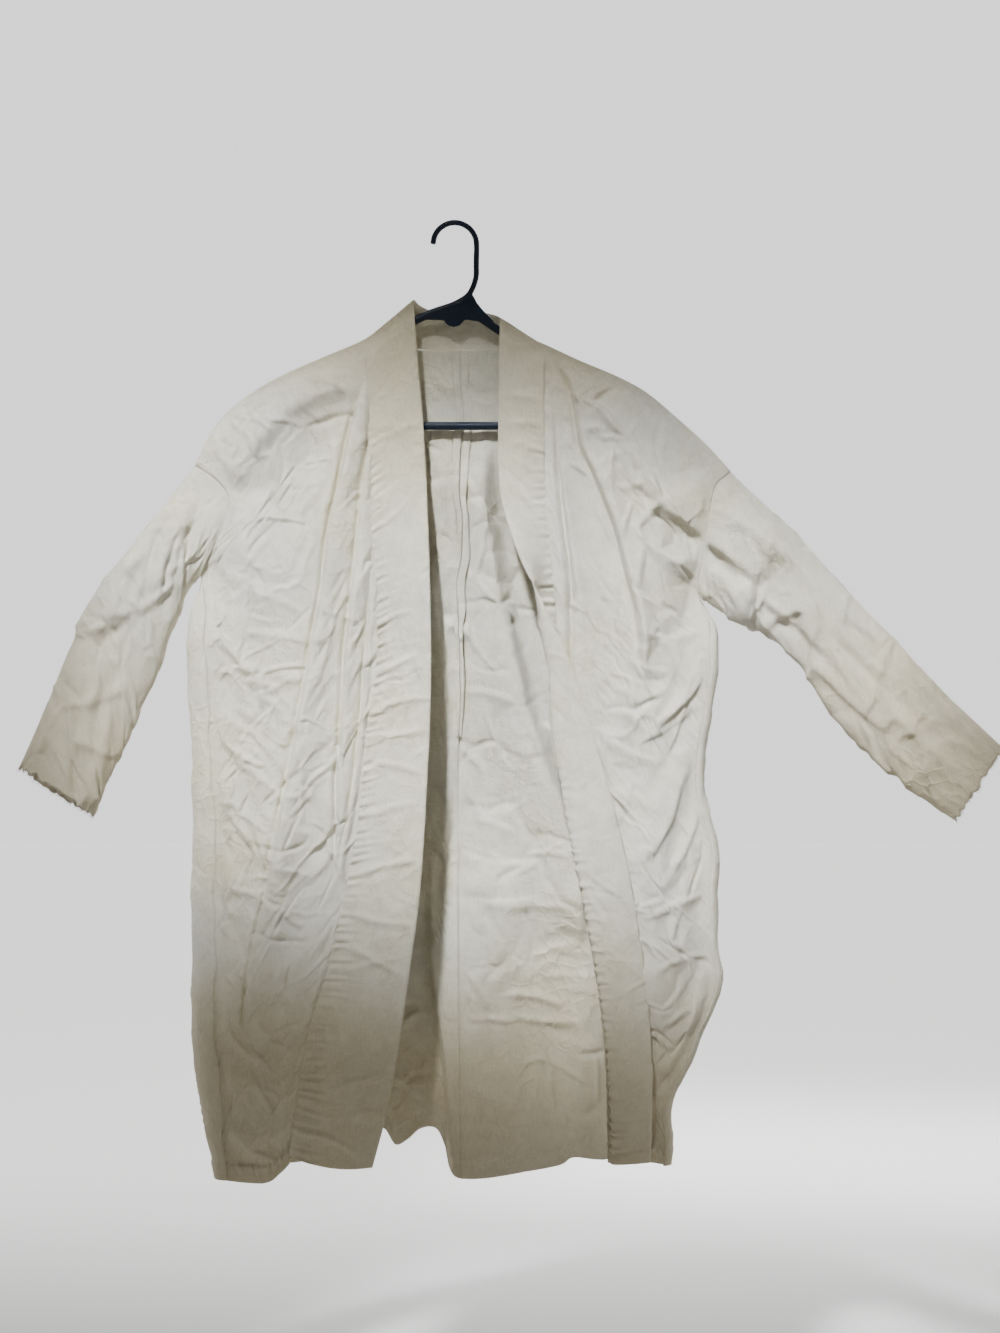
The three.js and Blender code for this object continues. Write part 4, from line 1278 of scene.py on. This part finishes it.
# %% Thread nodes
def thread_group():
    """A node group that lays threads along a line."""
    group = bpy.data.node_groups.new("threads", "GeometryNodeTree")
    sockets = {}
    for name, kind in (("Geometry", "NodeSocketGeometry"), ("Pitch", "NodeSocketFloat"),
                       ("Length", "NodeSocketFloat"), ("Radius", "NodeSocketFloat"),
                       ("Askew", "NodeSocketFloat"), ("Direction", "NodeSocketVector"),
                       ("Along", "NodeSocketFloat"), ("Seed", "NodeSocketInt"),
                       ("Material", "NodeSocketMaterial")):
        sockets[name] = group.interface.new_socket(name, in_out="INPUT", socket_type=kind).identifier
    group.interface.new_socket("Geometry", in_out="OUTPUT", socket_type="NodeSocketGeometry")
    given = group.nodes.new("NodeGroupInput").outputs
    link = group.links.new

    line = group.nodes.new("GeometryNodeMeshToCurve")
    link(given["Geometry"], line.inputs["Mesh"])
    steps = group.nodes.new("GeometryNodeResampleCurve")
    steps.mode = "LENGTH"
    link(line.outputs["Curve"], steps.inputs["Curve"])
    link(given["Pitch"], steps.inputs["Length"])

    bow = group.nodes.new("GeometryNodeCurveQuadraticBezier")
    bow.inputs["Resolution"].default_value = 4
    bow.inputs["Start"].default_value = (-0.5, 0, 0)
    bow.inputs["Middle"].default_value = (0, 0.12, 0.12)
    bow.inputs["End"].default_value = (0.5, 0, 0)
    grown = group.nodes.new("GeometryNodeTransform")
    link(bow.outputs["Curve"], grown.inputs["Geometry"])
    size = group.nodes.new("ShaderNodeCombineXYZ")
    for axis in "XYZ":
        link(given["Length"], size.inputs[axis])
    link(size.outputs["Vector"], grown.inputs["Scale"])
    round_section = group.nodes.new("GeometryNodeCurvePrimitiveCircle")
    round_section.inputs["Resolution"].default_value = 5
    link(given["Radius"], round_section.inputs["Radius"])
    thread = group.nodes.new("GeometryNodeCurveToMesh")
    thread.inputs["Fill Caps"].default_value = True
    link(grown.outputs["Geometry"], thread.inputs["Curve"])
    link(round_section.outputs["Curve"], thread.inputs["Profile Curve"])

    tangent = group.nodes.new("GeometryNodeInputTangent")
    way = group.nodes.new("ShaderNodeMix")
    way.data_type = "VECTOR"
    link(given["Along"], way.inputs["Factor"])
    link(given["Direction"], way.inputs[4])
    link(tangent.outputs["Tangent"], way.inputs[5])
    aim = group.nodes.new("FunctionNodeAlignRotationToVector")
    aim.axis = "X"
    link(way.outputs[1], aim.inputs["Vector"])
    spread = group.nodes.new("FunctionNodeRandomValue")
    spread.data_type = "FLOAT_VECTOR"
    spread.inputs["Min"].default_value = (-1, -1, -1)
    spread.inputs["Max"].default_value = (1, 1, 1)
    link(given["Seed"], spread.inputs["Seed"])
    askew = group.nodes.new("ShaderNodeVectorMath")
    askew.operation = "SCALE"
    link(spread.outputs["Value"], askew.inputs[0])
    link(given["Askew"], askew.inputs["Scale"])
    as_turn = group.nodes.new("FunctionNodeEulerToRotation")
    link(askew.outputs["Vector"], as_turn.inputs["Euler"])
    turned = group.nodes.new("FunctionNodeRotateRotation")
    turned.rotation_space = "LOCAL"
    link(aim.outputs["Rotation"], turned.inputs["Rotation"])
    link(as_turn.outputs["Rotation"], turned.inputs["Rotate By"])
    uneven = group.nodes.new("FunctionNodeRandomValue")
    uneven.inputs[2].default_value = 0.65
    uneven.inputs[3].default_value = 1.25
    link(given["Seed"], uneven.inputs["Seed"])

    laid = group.nodes.new("GeometryNodeInstanceOnPoints")
    link(steps.outputs["Curve"], laid.inputs["Points"])
    link(thread.outputs["Mesh"], laid.inputs["Instance"])
    link(turned.outputs["Rotation"], laid.inputs["Rotation"])
    link(uneven.outputs[1], laid.inputs["Scale"])
    real = group.nodes.new("GeometryNodeRealizeInstances")
    link(laid.outputs["Instances"], real.inputs["Geometry"])
    coloured = group.nodes.new("GeometryNodeSetMaterial")
    link(real.outputs["Geometry"], coloured.inputs["Geometry"])
    link(given["Material"], coloured.inputs["Material"])
    link(coloured.outputs["Geometry"], group.nodes.new("NodeGroupOutput").inputs["Geometry"])
    return group, sockets


THREADS, THREAD_SOCKETS = thread_group()


def lay_threads(name, lines, paint, pitch=3.4, length=2.5, radius=0.3, askew=0.12, direction=(0, 0, -1),
                along=1.0, seed=1):
    """Threads along one or more lines of points in millimetres, as one finished mesh."""
    mesh = bpy.data.meshes.new(name)
    points, edges = [], []
    for line in lines:
        first = len(points)
        points += [tuple(p * MM) for p in line]
        edges += [(first + i, first + i + 1) for i in range(len(line) - 1)]
    mesh.from_pydata(points, edges, [])
    carrier = bpy.data.objects.new(f"{name}_line", mesh)
    bpy.context.collection.objects.link(carrier)
    nodes = carrier.modifiers.new("threads", "NODES")
    nodes.node_group = THREADS
    for socket, value in (("Pitch", pitch * MM), ("Length", length * MM), ("Radius", radius * MM),
                          ("Askew", askew), ("Direction", direction), ("Along", along), ("Seed", seed),
                          ("Material", paint)):
        nodes[THREAD_SOCKETS[socket]] = value
    made = bpy.data.meshes.new_from_object(carrier.evaluated_get(bpy.context.evaluated_depsgraph_get()))
    made.polygons.foreach_set("use_smooth", np.ones(len(made.polygons), bool))
    bpy.data.objects.remove(carrier)
    piece = bpy.data.objects.new(name, made)
    bpy.context.collection.objects.link(piece)
    print(name, "faces:", len(made.polygons))
    return piece


def points_of(piece, rows, columns):
    """The finished grid of a piece, in millimetres."""
    flat = np.zeros(len(piece.data.vertices) * 3)
    piece.data.vertices.foreach_get("co", flat)
    return flat[:rows * columns * 3].reshape(rows, columns, 3) / MM


def pick(grid, measure, at):
    """The line across a grid where its measure, growing along each row, comes to a value."""
    line = []
    for row, sizes, value in zip(grid, measure, np.broadcast_to(at, len(grid))):
        line.append([np.interp(value, sizes, row[:, k]) for k in range(3)])
    return np.array(line)


# %% Thread
thread_paint = bpy.data.materials.new("sewing_thread")
thread_paint.use_nodes = True
tree = thread_paint.node_tree
shader = tree.nodes["Principled BSDF"]
place = tree.nodes.new("ShaderNodeTexCoord").outputs["Object"]
twist = node(tree, "ShaderNodeTexNoise", Vector=place, Scale=900.0)
tree.links.new(ramp(tree, twist.outputs["Fac"], [(0.35, (0.62, 0.57, 0.45)), (0.65, (0.80, 0.76, 0.66))]),
               shader.inputs["Base Color"])
shader.inputs["Roughness"].default_value = 0.75

# %% Sew
HEM_ROW_FRONT, HEM_ROW_BACK = -9, -7
stitching = {}


def sew(name, line, **how):
    """Lays threads along one line and remembers the piece by its name."""
    stitching[name] = lay_threads(name, [line], thread_paint, **how)


for side in ("left", "right"):
    face = points_of(bands[side], BAND_ROWS, 2 * BAND_ACROSS)[:, :BAND_ACROSS]
    steps = np.linalg.norm(np.diff(face, axis=1), axis=2)
    measure = np.concatenate([np.zeros((BAND_ROWS, 1)), np.cumsum(steps, 1)], 1)
    seam_line = pick(face, measure, stitch_distance(side, face[:, 0, 2]))[3:-3]
    sew(f"{side}_band_stitches", seam_line + (0, -0.25, 0), seed=3 if side == "left" else 4)
    panel = points_of(fronts[side], FRONT_ROWS, FRONT_COLUMNS)
    sew(f"{side}_hem_stitches", panel[HEM_ROW_FRONT, 1:-4] + (0, -0.9, 0), seed=5)
    back = points_of(backs[side], BACK_ROWS, BACK_COLUMNS)
    sew(f"{side}_back_stitches", back[HEM_ROW_BACK, 2:-30] + (0, -0.9, 0), seed=6)
    tube = points_of(sleeves[side], SLEEVE_STEPS, SLEEVE_AROUND)
    beside_seam = tube[3, 4:SLEEVE_AROUND // 2 - 4] + (0, -0.6, 0)
    sew(f"{side}_armhole_stitches", beside_seam, pitch=2.8, length=2.0, seed=7)
    down = tube[-1].mean(0) - tube[-9].mean(0)
    sew(f"{side}_cuff_fray", np.vstack([tube[-1], tube[-1][:1]]), pitch=1.5, length=6.5, radius=0.16,
        askew=0.75, direction=tuple(down / np.linalg.norm(down)), along=0.0, seed=8)

# %% [markdown]
# ## Raw seam edges inside the back
#
# Down the middle of the back the two panels meet in a plain seam, and its raw edges are pressed open
# inside. They are two narrow strips that never lie quite flat.

# %% Seam edges
ALLOWANCE_ROWS, ALLOWANCE_ACROSS = 170, 6


def seam_allowance(side):
    sign = SIGN[side]
    z = np.linspace(-148, -600, ALLOWANCE_ROWS)[:, None]
    panel = points_of(backs[side], BACK_ROWS, BACK_COLUMNS)
    beside_seam = panel[np.argsort(panel[:, 5, 2]), 5]
    rest_y = np.interp(z, beside_seam[:, 2], beside_seam[:, 1])
    width = 9.5 + 1.6 * swell(-z, 0 * z, 33, 70 + sign) + 0.7 * swell(-z, 0 * z, 8, 72 + sign)
    width = width * (0.5 + 0.5 * ease(-0.6, 0.2, swell(-z, 0 * z, 75, 75))) * mix(1, 0.3, ease(430, 600, -z))
    across = np.linspace(0, 1, ALLOWANCE_ACROSS)[None, :]
    x = x_at(CENTRE_BACK, z) + sign * (0.4 + across * width)
    curl = 0.5 + 1.7 * across**2 * ease(-0.5, 0.7, swell(-z, 0 * z, 41, 78 + sign))
    y = rest_y - 1.1 - curl + 0.25 * swell(-z + 0 * across, across * width, 7, 80)
    return np.stack([x, y, z + 0 * across], -1)


allowances = {}
for side in ("left", "right"):
    allowances[side] = cloth_object(f"{side}_seam_allowance", seam_allowance(side), thickness=0.5)
    allowances[side].data.materials.append(panel_cotton)

# %% [markdown]
# ## The hanger
#
# The hanger is one injection moulding, so hook, web, arms and bar flow into each other. The rods are
# joined by a voxel remesh, which welds overlapping tubes and leaves soft fillets, and a few smoothing
# steps take the voxel steps out.

# %% Hanger
def rod(points, radius, name):
    """A round rod along points in the hanger's plane, in millimetres."""
    line = along(points, 90)
    curve = bpy.data.curves.new(name, "CURVE")
    curve.dimensions = "3D"
    curve.bevel_depth = radius * MM
    curve.bevel_resolution = 6
    curve.use_fill_caps = True
    spline = curve.splines.new("POLY")
    spline.points.add(len(line) - 1)
    for point, (x, z) in zip(spline.points, line):
        point.co = (x * MM, 0, z * MM, 1)
    made = bpy.data.objects.new(name, curve)
    bpy.context.collection.objects.link(made)
    depsgraph = bpy.context.evaluated_depsgraph_get()
    mesh = bpy.data.meshes.new_from_object(made.evaluated_get(depsgraph))
    bpy.data.objects.remove(made)
    return mesh


def slab(outline, depth):
    """A flat plate with an outline in the hanger's plane."""
    b = bmesh.new()
    ring = [b.verts.new((x * MM, -depth / 2 * MM, z * MM)) for x, z in outline]
    face = b.faces.new(ring)
    made = bmesh.ops.extrude_face_region(b, geom=[face])
    moved = [v for v in made["geom"] if isinstance(v, bmesh.types.BMVert)]
    bmesh.ops.translate(b, verts=moved, vec=(0, depth * MM, 0))
    bmesh.ops.recalc_face_normals(b, faces=b.faces)
    mesh = bpy.data.meshes.new("slab")
    b.to_mesh(mesh)
    b.free()
    return mesh


HOOK_ROD, FRAME_ROD, HOOK_BEND = 3.5, 5.0, 25.5
hook_line = [(HOOK_BEND * math.cos(a), HOOK_ROD - HOOK_BEND + HOOK_BEND * math.sin(a))
             for a in np.linspace(math.pi, 0, 9)] + [(25.2, -44), (24.6, -62), (17, -80), (3, -90),
                                                     (-14, -97)]
parts = [
    rod(hook_line, HOOK_ROD, "hook"),
    rod([(8, -91), (-44, -110), (-105, -149), (-168, -179), (-190, -190), (-204, -204), (-207, -221),
         (-194, -233), (-176, BAR_HEIGHT)], FRAME_ROD, "left_arm"),
    rod([(8, -91), (46, -119), (105, -157), (172, -188), (194, -199), (207, -211), (209, -225), (197, -233),
         (180, BAR_HEIGHT)], FRAME_ROD, "right_arm"),
    rod([(-180, BAR_HEIGHT), (184, BAR_HEIGHT)], FRAME_ROD, "bar"),
    slab([(-44, -104), (-20, -95), (6, -87), (22, -82), (26, -90), (34, -100), (46, -112), (38, -114),
          (12, -110), (6, -117), (-1, -119), (-8, -117), (-13, -111), (-40, -110)], 4.4),
]
joined = bmesh.new()
for part in parts:
    joined.from_mesh(part)
hanger_mesh = bpy.data.meshes.new("hanger_moulding")
joined.to_mesh(hanger_mesh)
joined.free()
hanger = bpy.data.objects.new("hanger_moulding", hanger_mesh)
bpy.context.collection.objects.link(hanger)
weld = hanger.modifiers.new("weld", "REMESH")
weld.mode = "VOXEL"
weld.voxel_size = 0.0011
soften = hanger.modifiers.new("soften", "SMOOTH")
soften.iterations = 12
depsgraph = bpy.context.evaluated_depsgraph_get()
welded = bpy.data.meshes.new_from_object(hanger.evaluated_get(depsgraph))
hanger.modifiers.clear()
hanger.data = welded
welded.polygons.foreach_set("use_smooth", np.ones(len(welded.polygons), bool))
print("hanger faces:", len(welded.polygons))

# %% Hanger plastic
navy = bpy.data.materials.new("navy_plastic")
navy.use_nodes = True
tree = navy.node_tree
shader = tree.nodes["Principled BSDF"]
place = tree.nodes.new("ShaderNodeTexCoord").outputs["Object"]
haze = node(tree, "ShaderNodeTexNoise", Vector=place, Scale=28.0, Detail=6.0, Roughness=0.6)
tree.links.new(ramp(tree, haze.outputs["Fac"], [(0.3, (0.004, 0.010, 0.022)), (0.7, (0.008, 0.019, 0.042))]),
               shader.inputs["Base Color"])
grain = node(tree, "ShaderNodeTexNoise", Vector=place, Scale=620.0, Detail=3.0)
scuffs = node(tree, "ShaderNodeTexNoise", Vector=place, Scale=90.0, Detail=8.0, Roughness=0.8)
tree.links.new(ramp(tree, scuffs.outputs["Fac"], [(0.35, (0.30,) * 3), (0.65, (0.48,) * 3)]),
               shader.inputs["Roughness"])
shader.inputs["Specular IOR Level"].default_value = 0.32
bump = node(tree, "ShaderNodeBump", Height=grain.outputs["Fac"], Strength=0.15, Distance=0.0002)
tree.links.new(bump.outputs["Normal"], shader.inputs["Normal"])
welded.materials.clear()
welded.materials.append(navy)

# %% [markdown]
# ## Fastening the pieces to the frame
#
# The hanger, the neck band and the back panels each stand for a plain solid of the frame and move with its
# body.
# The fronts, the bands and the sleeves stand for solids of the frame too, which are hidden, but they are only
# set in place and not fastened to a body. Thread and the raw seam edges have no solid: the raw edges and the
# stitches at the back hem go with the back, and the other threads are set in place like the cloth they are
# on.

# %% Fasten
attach(hanger, "hanger")
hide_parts("hanger")


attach(neck_piece, "coat")
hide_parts("neck_band")
for side in ("left", "right"):
    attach(backs[side], "coat")
    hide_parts(f"back_{side}")
    for piece, cad_node, slot in ((fronts[side], f"front_{side}", "cotton"),
                                  (bands[side], f"front_band_{side}", "band_cotton")):
        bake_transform(piece)
        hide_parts(cad_node)
    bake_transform(sleeves[side])
    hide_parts(f"sleeve_{side}")

for side in ("left", "right"):
    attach(allowances[side], "coat")
    for name, piece in stitching.items():
        if not name.startswith(side):
            continue
        if "band" in name or "hem" in name:
            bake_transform(piece)
        elif "back" in name:
            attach(piece, "coat")
        else:
            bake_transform(piece)
